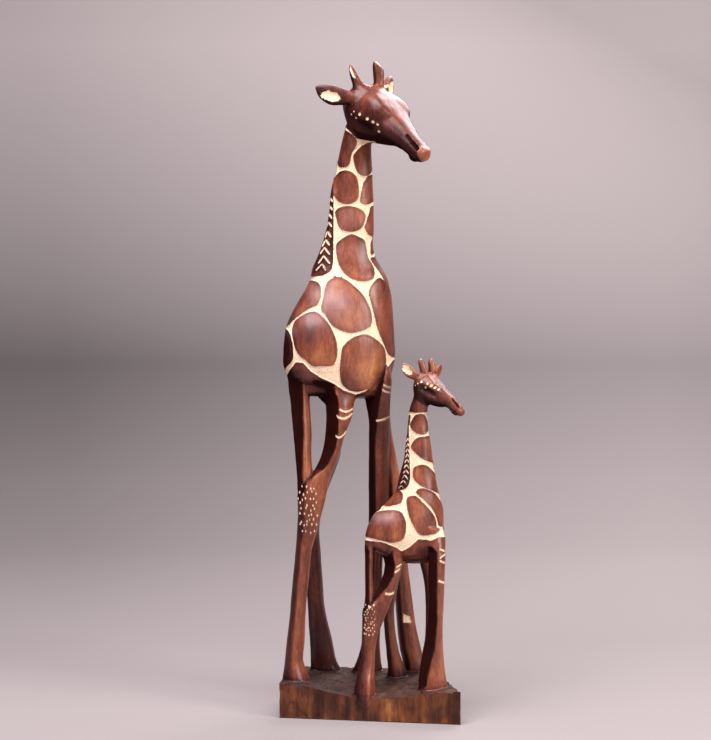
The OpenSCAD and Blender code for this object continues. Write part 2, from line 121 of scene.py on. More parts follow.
def ear(l, w, t):
    return [[-.2 * l, 0, 0, .5 * w, t], [0, 0, 0, .62 * w, t], [.25 * l, .15 * w, 0, .85 * w, .9 * t],
            [.5 * l, .25 * w, 0, w, .8 * t], [.75 * l, .2 * w, 0, .8 * w, .7 * t],
            [.92 * l, .05 * w, 0, .45 * w, .5 * t], [l, -.1 * w, 0, .12 * w, .2 * t]]


def hermite(rows, step=0.5):
    S = np.array([list(r) + [0.0] * (6 - len(r)) for r in rows], float)
    z, V = S[:, 0], S[:, 1:]
    dz = np.diff(z)
    sl = np.diff(V, axis=0) / dz[:, None]
    m = np.empty_like(V)
    m[1:-1] = (sl[:-1] * dz[1:, None] + sl[1:] * dz[:-1, None]) / (dz[:-1] + dz[1:])[:, None]
    m[0], m[-1] = sl[0], sl[-1]
    q = np.linspace(z[0], z[-1], int((z[-1] - z[0]) / step) + 2)
    i = np.clip(np.searchsorted(z, q, side="right") - 1, 0, len(z) - 2)
    t = ((q - z[i]) / dz[i])[:, None]
    h = dz[i][:, None]
    return q, ((2 * t ** 3 - 3 * t ** 2 + 1) * V[i] + (t ** 3 - 2 * t ** 2 + t) * h * m[i]
               + (3 * t ** 2 - 2 * t ** 3) * V[i + 1] + (t ** 3 - t ** 2) * h * m[i + 1])


def step(a, b, v):
    t = np.clip((v - a) / (b - a), 0, 1)
    return t * t * (3 - 2 * t)


class Stack:
    """A solid through stations, as a distance-like field in mm, negative inside."""

    def __init__(self, rows, at=None, lean=0.0, toward=0.0, form=None):
        self.q, self.t = hermite(rows)
        self.form = None if form is None else np.array(form, float)  # [z, power, ridge angle]
        self.cuts = []
        self.at = None if at is None else np.array(at, float)
        if at is not None:
            a, b = math.radians(lean), math.radians(toward)
            ry = np.array([[math.cos(a), 0, math.sin(a)], [0, 1, 0], [-math.sin(a), 0, math.cos(a)]])
            rz = np.array([[math.cos(b), -math.sin(b), 0], [math.sin(b), math.cos(b), 0], [0, 0, 1]])
            self.R = rz @ ry
        r = self.t[:, 2:4].max(1)
        c = np.stack([self.t[:, 0], self.t[:, 1], self.q], 1)
        pts = np.concatenate([c + s * r[:, None] for s in (np.array([1, 1, 0]), np.array([-1, -1, 0]),
                                                           np.array([1, -1, 0]), np.array([-1, 1, 0]))])
        if at is not None:
            pts = pts @ self.R.T + self.at
        self.lo, self.hi = pts.min(0), pts.max(0)

    def local(self, x, y, z):
        if self.at is None:
            return x, y, z
        a, b, c = x - self.at[0], y - self.at[1], z - self.at[2]
        R = self.R
        return (R[0, 0] * a + R[1, 0] * b + R[2, 0] * c, R[0, 1] * a + R[1, 1] * b + R[2, 1] * c,
                R[0, 2] * a + R[1, 2] * b + R[2, 2] * c)

    def row(self, z):
        return [np.interp(z, self.q, self.t[:, i]) for i in range(5)]

    def raw(self, x, y, z):
        cx, cy, a, b, w = self.row(z)
        w = np.radians(w)
        c, s = np.cos(w), np.sin(w)
        u, v = (x - cx) * c + (y - cy) * s, (y - cy) * c - (x - cx) * s
        if self.form is not None:  # a knife-cut section: flat faces that meet in ridges
            f = self.form
            p = np.interp(z, f[:, 0], f[:, 1])
            w = np.radians(np.interp(z, f[:, 0], f[:, 2]))
            c, s = np.cos(w), np.sin(w)
            e, g = c * u / a + s * v / b, c * v / b - s * u / a
            E, G = np.abs(e) + 1e-6, np.abs(g) + 1e-6
            r = (E ** p + G ** p) ** (1 / p)
            ge, gg = np.sign(e) * (E / r) ** (p - 1), np.sign(g) * (G / r) ** (p - 1)
            k = np.sqrt(((ge * c - gg * s) / a) ** 2 + ((ge * s + gg * c) / b) ** 2) + 1e-6
            return (r - 1) / k
        r = np.sqrt((u / a) ** 2 + (v / b) ** 2) + 1e-6
        return r * (r - 1) / (np.sqrt((u / a / a) ** 2 + (v / b / b) ** 2) + 1e-6)

    def __call__(self, x, y, z):
        x, y, z = self.local(x, y, z)
        d = self.raw(x, y, z)
        e = self.raw(x, y, z + .5) - self.raw(x, y, z - .5)
        d = d / np.sqrt(1 + np.minimum(e * e, 9))
        for f in self.cuts:
            d = -smin(-d, -f(x, y, z), 1.0)
        return np.maximum(d, np.maximum(self.q[0] - z, z - self.q[-1]))


class Ball:
    """An ellipsoid in the frame of a laid piece."""

    def __init__(self, host, c, r):
        self.host, self.c, self.r = host, c, r
        p = host.R @ np.array(c, float) + host.at
        m = max(r)
        self.lo, self.hi = p - m, p + m

    def __call__(self, x, y, z):
        x, y, z = self.host.local(x, y, z)
        u, v, w = [(q - c) / r for q, c, r in zip((x, y, z), self.c, self.r)]
        k = np.sqrt(u * u + v * v + w * w) + 1e-6
        g = np.sqrt((u / self.r[0]) ** 2 + (v / self.r[1]) ** 2 + (w / self.r[2]) ** 2) + 1e-6
        return k * (k - 1) / g


FORM = {
    "m_tl": [[265, 1.8, 10], [430, 1.8, 18]], "m_rh": [[44, 1.7, 0], [200, 1.6, -10], [280, 2, -10], [426, 2, 0]],
    "m_lh": [[44, 1.6, 30], [300, 1.5, 10], [400, 2, 0]], "m_rf": [[44, 1.6, -10], [150, 1.7, 0], [425, 2, 12]],
    "m_lf": [[44, 1.6, -20], [150, 1.5, -15], [400, 1.6, 10]], "c_tl": [[120, 1.7, 20], [238, 1.7, 20]],
    "c_rh": [[40, 1.5, 15], [110, 1.6, 20], [140, 2, 0], [226, 2, 0]], "c_rf": [[40, 1.9, 0], [234, 2, 0]],
    "c_lh": [[40, 1.6, 0], [222, 1.8, 0]], "c_lf": [[40, 1.6, 0], [218, 1.8, 0]],
    "m_rn": [[742, 2, 0], [780, 1.7, 20]], "m_ln": [[742, 2, 0], [770, 1.6, -25], [800, 1.6, -25]],
    "m_mn": [[538, 1.7, 90], [660, 1.7, 90]], "c_mn": [[280, 1.7, 90], [347, 1.7, 90]]}
M = {k: Stack(v, form=FORM.get(k)) for k, v in T.items() if k not in ("m_hd", "c_hd")}
M["m_hd"] = Stack(T["m_hd"], [4, 6, 737], 122, -43)
M["c_hd"] = Stack(T["c_hd"], [68.5, -18, 405], 123, -27)
M["m_re"] = Stack(ear(47, 12, 5), [-23, -8, 754], 75, 188)
M["m_le"] = Stack(ear(36, 13.5, 6), [14, 27, 758], 48, 66)
M["c_re"] = Stack(ear(27, 7, 3), [58, -22, 416], 50, 186)
M["c_le"] = Stack(ear(21.6, 6, 3), [76, -6, 416], 46, 50)

# ---------------------------------------------------------------- long flat cuts down the limbs
CUTS = []


def facet(key, ridge, turn, painted_shade, fade=14):
    """A flat cut down a limb from its ridge [(z, x)]; turn is where the flat faces, degrees from +X; the last number
    later darkens the flat face, as painted shade for a face turned from the lights.
    """
    st = M[key]
    rz, rx = np.array(ridge, float).T
    c, s = math.cos(math.radians(turn)), math.sin(math.radians(turn))

    def d(x, y, z):
        xr = np.interp(z, rz, rx)
        cx, cy, a, b, w = st.row(z)
        e = np.clip((xr - cx) / a, -.97, .97)
        yf = cy - b * np.sqrt(1 - e * e)
        end = np.maximum(0, rz[0] + fade - z) * .5 + np.maximum(0, z - rz[-1] + fade) * .5
        return (x - xr) * c + (y - yf) * s - end

    st.cuts.append(d)
    CUTS.append((key, d, painted_shade))


facet("m_rh", [(290, -66), (299, -62), (311, -53), (326, -44.5), (345, -40.5), (370, -40), (384, -39.5), (408, -44)], 217, .42)
facet("m_tl", [(262, -82), (295, -84), (315, -83.5), (344, -82.5), (381, -83), (415, -83.5), (440, -84)], 222, .42, 8)
facet("m_rf", [(60, -3), (160, 3), (215, 5.5), (300, 4.5), (339, 4), (363, 7), (388, 10.5), (419, 17.5), (440, 20)], 222, .40, 5)
facet("c_rh", [(136, -1), (143, 0), (149, 5), (163, 19), (175, 26.5), (188, 29), (203, 26), (222, 24)], 215, .44, 6)
facet("c_rf", [(36, 64), (69, 71), (92, 77), (119, 79.5), (161, 79.5), (198, 79.5), (214, 79)], 222, .44, 8)
facet("c_tl", [(120, -2), (160, -2.5), (194, -2.5), (214, -2)], 222, .34, 8)
facet("m_lf", [(40, 44), (80, 40), (150, 34), (220, 28), (290, 20), (400, 8)], 225, .22, 4)
facet("c_lh", [(30, 27), (72, 24), (131, 18), (176, 24), (215, 26)], 228, .25, 4)

# ---------------------------------------------------------------- the block
FL, FR, BR, BL = np.array([-113., -32.]), np.array([108., -68.]), np.array([77., 68.]), np.array([-100., 67.])


def block_st(x, y):
    x, y = np.broadcast_arrays(np.asarray(x, float), np.asarray(y, float))
    s, t = np.full(x.shape, .5), np.full(x.shape, .5)
    for _ in range(12):
        y0, y1 = FL[1] * (1 - s) + FR[1] * s, BL[1] * (1 - s) + BR[1] * s
        t = (y - y0) / (y1 - y0)
        x0, x1 = FL[0] * (1 - t) + BL[0] * t, FR[0] * (1 - t) + BR[0] * t
        s = (x - x0) / (x1 - x0)
    return s, t


def side(x, y, p, q):
    d = (q - p) / np.linalg.norm(q - p)
    return (x - p[0]) * d[1] - (y - p[1]) * d[0]


def block(x, y, z):
    s, t = block_st(x, y)
    sc, tc = np.clip(s, 0, 1), np.clip(t, 0, 1)
    top = (1 - sc) * 43 + sc * 40 - 13 * np.sin(np.pi * sc) ** 2 * (1 - tc) ** 1.5 - 2 * np.sin(np.pi * tc) * np.sin(2 * np.pi * sc)
    walls = np.maximum(np.maximum(side(x, y, FL, FR), side(x, y, FR, BR)), np.maximum(side(x, y, BR, BL), side(x, y, BL, FL)))
    return np.maximum(np.maximum(walls, z - top), -z)


# ---------------------------------------------------------------- one skin
lo = np.array([-118., -73., -4.])
hi = np.array([118., 73., 805.])
n = np.ceil((hi - lo) / H).astype(int) + 1
ax = [lo[i] + H * np.arange(n[i]) for i in range(3)]
U = np.full(n, 9.0, np.float32)


def region(a, b, pad=11.0):
    i0 = np.clip(np.floor((np.array(a) - pad - lo) / H).astype(int), 0, n)
    i1 = np.clip(np.ceil((np.array(b) + pad - lo) / H).astype(int) + 1, 0, n)
    sl = tuple(slice(i0[k], i1[k]) for k in range(3))
    return sl, (ax[0][sl[0]][:, None, None], ax[1][sl[1]][None, :, None], ax[2][sl[2]][None, None, :])


def smin(a, b, k):
    h = np.clip(.5 + .5 * (b - a) / k, 0, 1)
    return b + (a - b) * h - k * h * (1 - h)


def add(parts, k_in, k_out):
    a = np.min([p.lo for p in parts], 0)
    b = np.max([p.hi for p in parts], 0)
    sl, g = region(a, b)
    f = None
    for p in parts:
        d = p(*g)
        f = d if f is None else smin(f, d, k_in)
    U[sl] = smin(U[sl], f, k_out)


def carve(part, k):
    sl, g = region(part.lo, part.hi)
    U[sl] = -smin(-U[sl], part(*g), k)


def flat_top(st, h, k, t0, t1):
    """Planes the brow and bridge of a head: nothing stands more than h(t) above its axis."""
    sl, g = region(st.lo, st.hi)
    u, v, t = st.local(*g)
    near = np.maximum(st(*g), 0) < 8
    cutp = -u - np.interp(t, *np.array(h, float).T)
    ok = near & (t > t0) & (t < t1)
    U[sl] = np.where(ok, -smin(-U[sl], -cutp, k), U[sl])


class Slot:
    """A rounded slot between two points, in the frame of a laid piece if there is one."""

    def __init__(self, host, p, q, r):
        self.host, self.p, self.q, self.r = host, np.array(p, float), np.array(q, float), r
        w = np.stack([self.p, self.q]) if host is None else np.stack([host.R @ self.p, host.R @ self.q]) + host.at
        self.lo, self.hi = w.min(0) - r, w.max(0) + r

    def __call__(self, x, y, z):
        c = (x, y, z) if self.host is None else self.host.local(x, y, z)
        e = self.q - self.p
        d = [c[i] - self.p[i] for i in range(3)]
        t = np.clip((d[0] * e[0] + d[1] * e[1] + d[2] * e[2]) / (e @ e), 0, 1)
        return np.sqrt(sum((d[i] - t * e[i]) ** 2 for i in range(3))) - self.r


hd, ch = M["m_hd"], M["c_hd"]
mre, mle, cre, cle = M["m_re"], M["m_le"], M["c_re"], M["c_le"]
add([M["m_trunk"]], 1, .1)
add([M["m_rf"], M["m_lf"]], .8, 3)
add([M["m_rh"], M["m_tl"]], 2, 5)
add([Slot(None, (-72, 0, 402), (-58, 0, 402), 10)], 1, 3)
add([M["m_lh"]], 1, 6)
HOLLOW = [Slot(None, (-69, -26, 401), (-55, -27, 399), 13), Slot(None, (6, 44, 398), (-20, 60, 398), 9),
          Slot(None, (5, -46, 205), (16, -48, 203), 8), Slot(None, (48, -50, 192), (62, -50, 191), 8)]
for h in HOLLOW[:2]:
    carve(h, 3)
add([M["m_mn"]], 1, 4)
add([hd], 1, 5)
for s in (-1, 1):
    add([Ball(hd, (-16, 17 * s, 14), (11, 13, 19))], 1, 8)
add([Ball(hd, (11, 0, 84), (6, 7.5, 7))], 1, 2.5)
add([M["m_rn"]], 1, 8)
add([M["m_ln"]], 1, 5)
add([mre], 1, 5)
add([mle], 1, 5)
flat_top(hd, [(-30, 34), (0, 30.5), (15, 28), (35, 21.5), (55, 16), (75, 11), (90, 7.5), (110, 3)], 3, -12, 99)
carve(Slot(hd, (-3, -30, 108), (-3, 30, 108), 9.5), 2)
for s in (-1, 1):
    for h in (Slot(hd, (-8.5, 10.8 * s, 69), (-5, 10 * s, 82), 1.6), Slot(hd, (-5, 10 * s, 80), (-2.5, 9 * s, 91), 2.2)):
        carve(h, .7)  # nostril
        HOLLOW.append(h)
    carve(Slot(hd, (4.5, 13.5 * s, 80), (6.5, 9 * s, 99), .9), .8)  # mouth
    carve(Slot(hd, (13, 37 * s, 2), (11, 32.5 * s, 28), 6), 8)  # hollow under the lid
    carve(Slot(hd, (-14, 14.5 * s, 90), (-8, 14 * s, 98), 4.0), 2)  # flat sides of the lip
carve(Slot(hd, (19.5, -14, 70), (19.5, 14, 70), 7), 3)
HOLLOW.append(Slot(hd, (15.5, -9, 93), (15.5, 9, 93), 2.6))
carve(HOLLOW[-1], 1.5)
carve(Ball(mre, (4.5, 6.0, 27), (7.5, 4.2, 14)), 1.2)
carve(Ball(mle, (3, -6.0, 22), (7, 4.2, 12)), 1.2)
add([M["c_trunk"]], 1, .1)
add([M["c_rf"], M["c_lf"]], .6, 3.5)
add([M["c_rh"], M["c_tl"]], 1, 3.5)
add([M["c_lh"]], 1, 4)
add([M["c_mn"]], 1, 2.5)
add([ch], 1, 3)
for s in (-1, 1):
    add([Ball(ch, (-6, 9 * s, 9), (6, 6, 10))], 1, 5)
add([M["c_rn"]], 1, 3)
add([M["c_ln"]], 1, 3)
add([cre], 1, 3)
add([cle], 1, 3)
flat_top(ch, [(-14, 16.5), (5, 13.5), (20, 11.5), (35, 9.5), (50, 5.5), (60, 1)], 1.5, -6, 60)
for s in (-1, 1):
    HOLLOW.append(Slot(ch, (-8, 4.5 * s, 38), (-4.5, 4.5 * s, 52), 1.5))
    carve(HOLLOW[-1], .6)
    carve(Slot(ch, (0, 17.5 * s, 0), (-1, 14.5 * s, 16), 3), 4)
    carve(Slot(ch, (2, 8.5 * s, 40), (2.5, 4 * s, 57), .8), .6)
carve(Slot(ch, (8, -9, 53), (8, 9, 53), 2.6), 1.5)
carve(Slot(ch, (9.5, -9, 38), (10, 9, 32), 3), 4)
for h in HOLLOW[2:4]:
    carve(h, 2)
carve(Ball(cre, (2, 4.2, 16), (4.5, 3, 8.5)), .8)
carve(Ball(cle, (2, -4.0, 13), (4, 3, 7)), .8)
sl, g = region([-113, -68, 0], [113, 68, 43], 5)
U[sl] = smin(U[sl], block(*g), 2.5)
sl, g = region([-118, -73, -4], [118, 73, 0], 1)
U[sl] = np.maximum(U[sl], -g[2] + 0 * U[sl])

grid = vdb.FloatGrid()
grid.copyFromArray(np.clip(U, -9, 9).astype(np.float32))
grid.transform = vdb.createLinearTransform(voxelSize=H)
P, Q = grid.convertToQuads(0.0)
P = P.astype(float) + lo
Q = Q.astype(np.int64)
del grid
print("skin", len(P), "points", len(Q), "quads")
d1 = np.linalg.norm(P[Q[:, 0]] - P[Q[:, 2]], axis=1)
d2 = np.linalg.norm(P[Q[:, 1]] - P[Q[:, 3]], axis=1)
F = np.where((d1 <= d2)[:, None, None], Q[:, [[0, 1, 2], [0, 2, 3]]], Q[:, [[0, 1, 3], [1, 2, 3]]]).reshape(-1, 3)


def normals(P, F):
    c = np.cross(P[F[:, 1]] - P[F[:, 0]], P[F[:, 2]] - P[F[:, 0]])
    N = np.zeros_like(P)
    for k in range(3):
        for j in range(3):
            N[:, j] += np.bincount(F[:, k], c[:, j], len(P))
    return N / (np.linalg.norm(N, axis=1)[:, None] + 1e-12)


N = normals(P, F)
# outward faces: the top of the skin has to look up
if N[np.argmax(P[:, 2]), 2] < 0:
    F = F[:, ::-1].copy()
    N = -N
x, y, z = P.T


# ---------------------------------------------------------------- noise and outlines
def lattice(seed):
    return np.random.default_rng(seed).random((32, 32, 32)).astype(np.float32)


LAT = {}


def noise(x, y, z, seed=0):
    """Smooth value noise in 0..1, one unit to a cell."""
    if seed not in LAT:
        LAT[seed] = lattice(seed)
    L = LAT[seed]
    out = 0
    i = [np.floor(q).astype(int) for q in (x, y, z)]
    f = [q - k for q, k in zip((x, y, z), i)]
    f = [q * q * (3 - 2 * q) for q in f]
    for a in (0, 1):
        for b in (0, 1):
            for c in (0, 1):
                w = (f[0] if a else 1 - f[0]) * (f[1] if b else 1 - f[1]) * (f[2] if c else 1 - f[2])
                out = out + w * L[(i[0] + a) % 32, (i[1] + b) % 32, (i[2] + c) % 32]
    return out


def around(st, x, y, z):
    """Angle round a trunk in degrees: 0 faces -Y, 90 is +X, 180 faces +Y."""
    cx, cy, a, b, w = st.row(z)
    w = np.radians(w)
    c, s = np.cos(w), np.sin(w)
    u, v = (x - cx) * c + (y - cy) * s, (y - cy) * c - (x - cx) * s
    return np.degrees(np.arctan2(u / a, -v / b))


def face_angle(st, x, z):
    """The angle at which the near side of a trunk has this x; past its edge it goes on round."""
    cx, cy, a, b, w = [float(v) for v in st.row(z)]
    w = math.radians(w)
    th = np.radians(np.arange(-110, 111))
    u, v = a * np.sin(th), -b * np.cos(th)
    xs = cx + u * math.cos(w) - v * math.sin(w)
    i0, i1 = int(np.argmin(xs)), int(np.argmax(xs))
    if x < xs[i0]:
        return math.degrees(th[i0]) - math.degrees((xs[i0] - x) / a)
    if x > xs[i1]:
        return math.degrees(th[i1]) + math.degrees((x - xs[i1]) / a)
    return math.degrees(float(np.interp(x, xs[i0:i1 + 1], th[i0:i1 + 1])))


def smooth_loop(p, k=6):
    p = np.array(p, float)
    m = len(p)
    out = []
    for i in range(m):
        a, b, c, d = p[i - 1], p[i], p[(i + 1) % m], p[(i + 2) % m]
        for t in np.arange(k) / k:
            out.append(.5 * (2 * b + (c - a) * t + (2 * a - 5 * b + 4 * c - d) * t * t + (3 * b - a - 3 * c + d) * t ** 3))
    return np.array(out)


def loop_distance(px, py, L):
    """Signed distance to a closed outline, negative inside."""
    best = np.full(len(px), 1e9)
    inside = np.zeros(len(px), bool)
    for a, b in zip(L, np.roll(L, -1, 0)):
        e = b - a
        t = np.clip(((px - a[0]) * e[0] + (py - a[1]) * e[1]) / (e @ e + 1e-12), 0, 1)
        best = np.minimum(best, (px - a[0] - t * e[0]) ** 2 + (py - a[1] - t * e[1]) ** 2)
        c = (a[1] > py) != (b[1] > py)
        xx = a[0] + (py - a[1]) * (e[0] / (e[1] if abs(e[1]) > 1e-12 else 1e-12))
        inside ^= c & (px < xx)
    return np.where(inside, -1, 1) * np.sqrt(best)


def patches(st, loops, x, y, z):
    """Distance to the nearest stained patch (negative inside), on both flanks of a trunk."""
    ang = around(st, x, y, z)
    best = np.full(len(x), 30.0)
    for far in (0, 1):
        a = np.where(ang < -90, -180 - ang, 180 - ang) if far else ang
        zz = z
        if far:  # the hidden flank has the same plan, drawn again by another pass of the knife
            a = a + 5 * np.sin(z / 17.0)
            zz = z + 4 * np.sin(a / 14.0)
        for p in loops:
            c = [(face_angle(st, q[0], q[1]), q[1]) for q in p]
            zm = np.mean([q[1] for q in c])
            r = float(np.interp(zm, st.q, (st.t[:, 2] + st.t[:, 3]) / 2))
            s = math.radians(r)
            L = smooth_loop([(q[0] * s, q[1]) for q in c])
            k = (a * s > L[:, 0].min() - 14) & (a * s < L[:, 0].max() + 14) & (zz > L[:, 1].min() - 14) & (zz < L[:, 1].max() + 14)
            if k.any():
                best[k] = np.minimum(best[k], loop_distance(a[k] * s, zz[k], L))
    return best


MOTHER = [
    [(-43, 576), (-38, 583), (-26, 590), (-17, 588), (-8, 582), (-6, 572), (-4, 563), (2, 552), (4, 542), (0, 535), (-13, 533),
     (-25, 537), (-34, 544), (-40, 555)],
    [(-61, 500), (-58, 515), (-56, 526), (-52, 534), (-41, 539), (-30, 535), (-19, 526), (-10, 517), (-4, 506), (0, 495),
     (1, 485), (-2, 478), (-13, 473), (-26, 471), (-41, 476), (-49, 482), (-56, 493)],
    [(-116, 479), (-102, 478), (-91, 489), (-77, 499), (-67, 504), (-63, 509), (-61, 518), (-62, 528), (-68, 533), (-75, 533),
     (-88, 524), (-104, 505)],
    [(-96, 477), (-92, 486), (-80, 494), (-69, 497), (-60, 492), (-50, 480), (-44, 467), (-41, 454), (-42, 441), (-47, 432),
     (-62, 431), (-71, 431), (-80, 438), (-88, 444), (-93, 453), (-96, 466)],
    [(-38, 434), (-36, 451), (-30, 460), (-19, 467), (-6, 469), (5, 463), (15, 453), (18, 440), (17, 427), (9, 414), (0, 404),
     (-13, 399), (-25, 400), (-34, 407), (-38, 419)],
    [(-3, 520), (2, 531), (9, 537), (15, 534), (19, 527), (24, 517), (34, 505), (42, 480), (44, 455), (38, 440), (30, 437),
     (22, 442), (14, 459), (8, 474), (4, 490), (0, 506)],
    [(-101, 472), (-97, 462), (-95, 449), (-98, 434), (-105, 422), (-116, 424), (-124, 440), (-122, 460), (-110, 474)],
    [(0, 582), (-1, 574), (-1, 567), (2, 565), (9, 572), (12, 582), (6, 588)],
    [(2, 560), (8, 553), (14, 544), (20, 534.5), (24, 526), (32, 520), (46, 528), (46, 546), (34, 560), (16, 566)],
    [(-40, 730), (-32, 719.7), (-25, 712), (-18, 704), (-19, 696), (-24, 687), (-26, 676), (-30, 672), (-37, 671), (-41, 675),
     (-46, 690), (-46, 730)],
    [(0, 703), (-6, 700), (-13, 696), (-17, 692), (-22, 685), (-21, 676), (-18, 667), (-13, 662), (-6, 661), (0, 665),
     (6, 676), (7, 692)],
    [(-43, 661), (-36, 667), (-27, 667), (-19, 661), (-16, 652), (-15, 641), (-17, 632), (-25, 627), (-33, 627), (-41, 631),
     (-44, 641), (-45, 652)],
    [(-3, 661), (-9, 654), (-12, 643), (-14, 632), (-12, 628), (-7, 626), (0, 628), (8, 634), (10, 650), (4, 662)],
    [(-43, 613), (-42, 620), (-34, 624), (-23, 624), (-12, 620), (-7, 613), (-9, 603), (-14, 596), (-24, 593), (-34, 595),
     (-40, 600)],
    [(0, 624), (-3, 616), (-7, 603), (-8, 598), (-4, 590), (2, 586), (10, 590), (13, 605), (8, 622)]]
MOTHER_LOW = [(-112, 408), (-107, 410), (-100, 424), (-92, 435), (-83, 435), (-73, 424), (-60, 416), (-45, 409), (-34, 401),
              (-19, 395), (-8, 398), (1, 405), (16, 423), (27, 435), (40, 440)]
CALF = [
    [(47, 358), (48, 363), (54, 372), (64, 372), (68, 363), (69, 353), (64, 348), (56, 349), (50, 353)],
    [(48, 334), (52, 341), (59, 345), (71, 345), (78, 336), (80, 322), (77, 312), (69, 315), (60, 320), (53, 326), (49, 330)],
    [(50, 298), (51, 307), (57, 311), (66, 311), (73, 305), (82, 293), (88, 280), (86, 274), (80, 276), (71, 281), (62, 285),
     (56, 289), (52, 293)],
    [(54, 279), (58, 283), (67, 282), (78, 275), (85, 264), (94, 250), (98, 238), (93, 230), (87, 230), (82, 236), (79, 247),
     (73, 259), (64, 269), (57, 275)],
    [(43, 271), (47, 274), (54, 274), (62, 267), (71, 257), (78, 245), (79, 235), (73, 228), (64, 226), (57, 229), (50, 240),
     (45, 252), (43, 262)],
    [(-8, 238), (-2, 246), (5, 251), (17, 256), (30, 257), (37, 254), (41, 246), (42, 236), (40, 226), (36, 221), (25, 218),
     (13, 220), (1, 222), (-8, 225), (-14, 232)],
    [(8, 262), (18, 268), (26, 276), (33, 280), (38, 277), (38, 270), (35, 265), (26, 262), (18, 260)]]
CALF_LOW = [(-12, 219), (-6, 219), (13, 218), (30, 212), (37, 207), (47, 213), (57, 222), (72, 220), (81, 224), (95, 223)]

# ---------------------------------------------------------------- which piece each point belongs to
NODES = {
    "m_re": "mother_right_ear", "m_le": "mother_left_ear", "m_rn": "mother_right_horn", "m_ln": "mother_left_horn",
    "m_hd": "mother_head", "c_re": "calf_right_ear", "c_le": "calf_left_ear", "c_rn": "calf_right_horn",
    "c_ln": "calf_left_horn", "c_hd": "calf_head", "m_tl": "mother_tail", "c_tl": "calf_tail",
    "m_rh": "mother_right_hind_leg", "m_lh": "mother_left_hind_leg", "m_rf": "mother_right_fore_leg",
    "m_lf": "mother_left_fore_leg", "c_rh": "calf_right_hind_leg", "c_lh": "calf_left_hind_leg",
    "c_rf": "calf_right_fore_leg", "c_lf": "calf_left_fore_leg"}
ORDER = list(NODES) + ["m_trunk", "c_trunk", "base"]
D = np.full((len(P), len(ORDER)), 60.0)
for i, k in enumerate(ORDER):
    if k == "base":
        w = z < 60
        D[w, i] = block(x[w], y[w], z[w])
        continue
    st = M[k]
    w = ((P > st.lo - 14) & (P < st.hi + 14)).all(1)
    D[w, i] = st(x[w], y[w], z[w])
COL = {k: i for i, k in enumerate(ORDER)}


def strip(ang, z, rows):
    """The middle angle and half width of a band that climbs a trunk, at height z, from rows of [z, middle angle, half
    width in mm].
    """
    r = np.array(rows, float)
    return np.interp(z, r[:, 0], r[:, 1]), np.interp(z, r[:, 0], r[:, 2])


mt, ct = M["m_trunk"], M["c_trunk"]
am = around(mt, x, y, z)
ac = around(ct, x, y, z)
rm = np.interp(z, mt.q, (mt.t[:, 2] + mt.t[:, 3]) / 2)
rc = np.interp(z, ct.q, (ct.t[:, 2] + ct.t[:, 3]) / 2)


def wrap(a):
    return (a + 180) % 360 - 180


mm, mw = strip(am, z, [[538, -66, 0], [560, -66, 0], [590, -76, 0], [610, -84, 0], [630, -90, 0], [658, -92, 0]])
cm, cw = strip(ac, z, [[279, -70, 0], [300, -74, 0], [320, -82, 0], [352, -90, 0]])
near_m = (D[:, COL["m_trunk"]] < 14) & (z > 537) & (z < 667)
near_c = (D[:, COL["c_trunk"]] < 8) & (z > 278) & (z < 371)
mu = np.radians(wrap(am - mm)) * rm
cu = np.radians(wrap(ac - cm)) * rc
edge_m = np.interp(z, [537, 538.5, 540, 542, 545, 549, 555, 600, 645, 655, 661, 666], [-85, -68, -60, -55, -51, -48, -46.8, -46.2, -46.4, -46.8, -48, -52])
edge_c = np.interp(z, [278, 280, 282, 285, 289, 296, 310, 330, 345, 352, 359, 371, 377, 382, 386],
                   [24, 36, 41, 44, 46, 47, 46.5, 46, 45.6, 45.2, 45.2, 48, 52, 56.5, 60])
mane_m = np.where(near_m, x - edge_m, 9.0)
mane_c = np.where(near_c, x - edge_c, 9.0)
# the stain line between head and neck
zl = np.interp(x, [-60, -40, -32, -25, -18, -10, 0, 10], [745, 731, 720.5, 713, 705.5, 704, 702.5, 702])
nk = (z > 660) & (x < 3) & (D[:, COL["m_trunk"]] < 14)
D[:, COL["m_hd"]] += np.where(nk, 8 * np.maximum(0, zl - z), 0)
D[:, COL["m_trunk"]] += np.where(nk, 8 * np.maximum(0, z - zl), 0)

# ---------------------------------------------------------------- cream channels
cream = np.full(len(P), -9.0)
w = ((D[:, COL["m_trunk"]] < 16) | nk) & (z > 385) & (x < 45) & (D[:, COL["c_hd"]] > 8) & (D[:, COL["c_re"]] > 4)
d = patches(mt, MOTHER, x[w], y[w], z[w])
low = np.interp(x[w], *np.array(MOTHER_LOW, float).T)
d = np.minimum(d, (z[w] - low) * .85)
d = np.minimum(d, mane_m[w] - .3)
d = np.minimum(d, np.where(z[w] > 690, zl[w] - z[w] + .2, 9))
cream[w] = np.maximum(cream[w], d)
w = (D[:, COL["c_trunk"]] < 9) & (z > 195) & (D[:, COL["m_rf"]] > 3) & (D[:, COL["m_lf"]] > 3)
d = patches(ct, CALF, x[w], y[w], z[w])
low = np.interp(x[w], *np.array(CALF_LOW, float).T)
d = np.minimum(d, (z[w] - low) * .85)
d = np.minimum(d, mane_c[w] - .2)
d = np.minimum(d, 374.5 - z[w])
cream[w] = np.maximum(cream[w], d)


def marks(m):
    global cream
    cream = np.maximum(cream, m)


def band(x0, z0, x1, z1, sag, wide, ok):
    """A notch cut round the near side of a limb, from (x0, z0) to (x1, z1), sagging in the middle."""
    t = np.clip((x - x0) / (x1 - x0), 0, 1)
    zc = z0 + (z1 - z0) * t - sag * (1 - (2 * t - 1) ** 2)
    k = ok & (np.abs(z - zc) < 6) & (x > x0 - 4) & (x < x1 + 4)
    marks(np.where(k, np.minimum(wide / 2 - np.abs(z - zc), np.minimum(x - x0, x1 - x) * .6 + .5), -9))


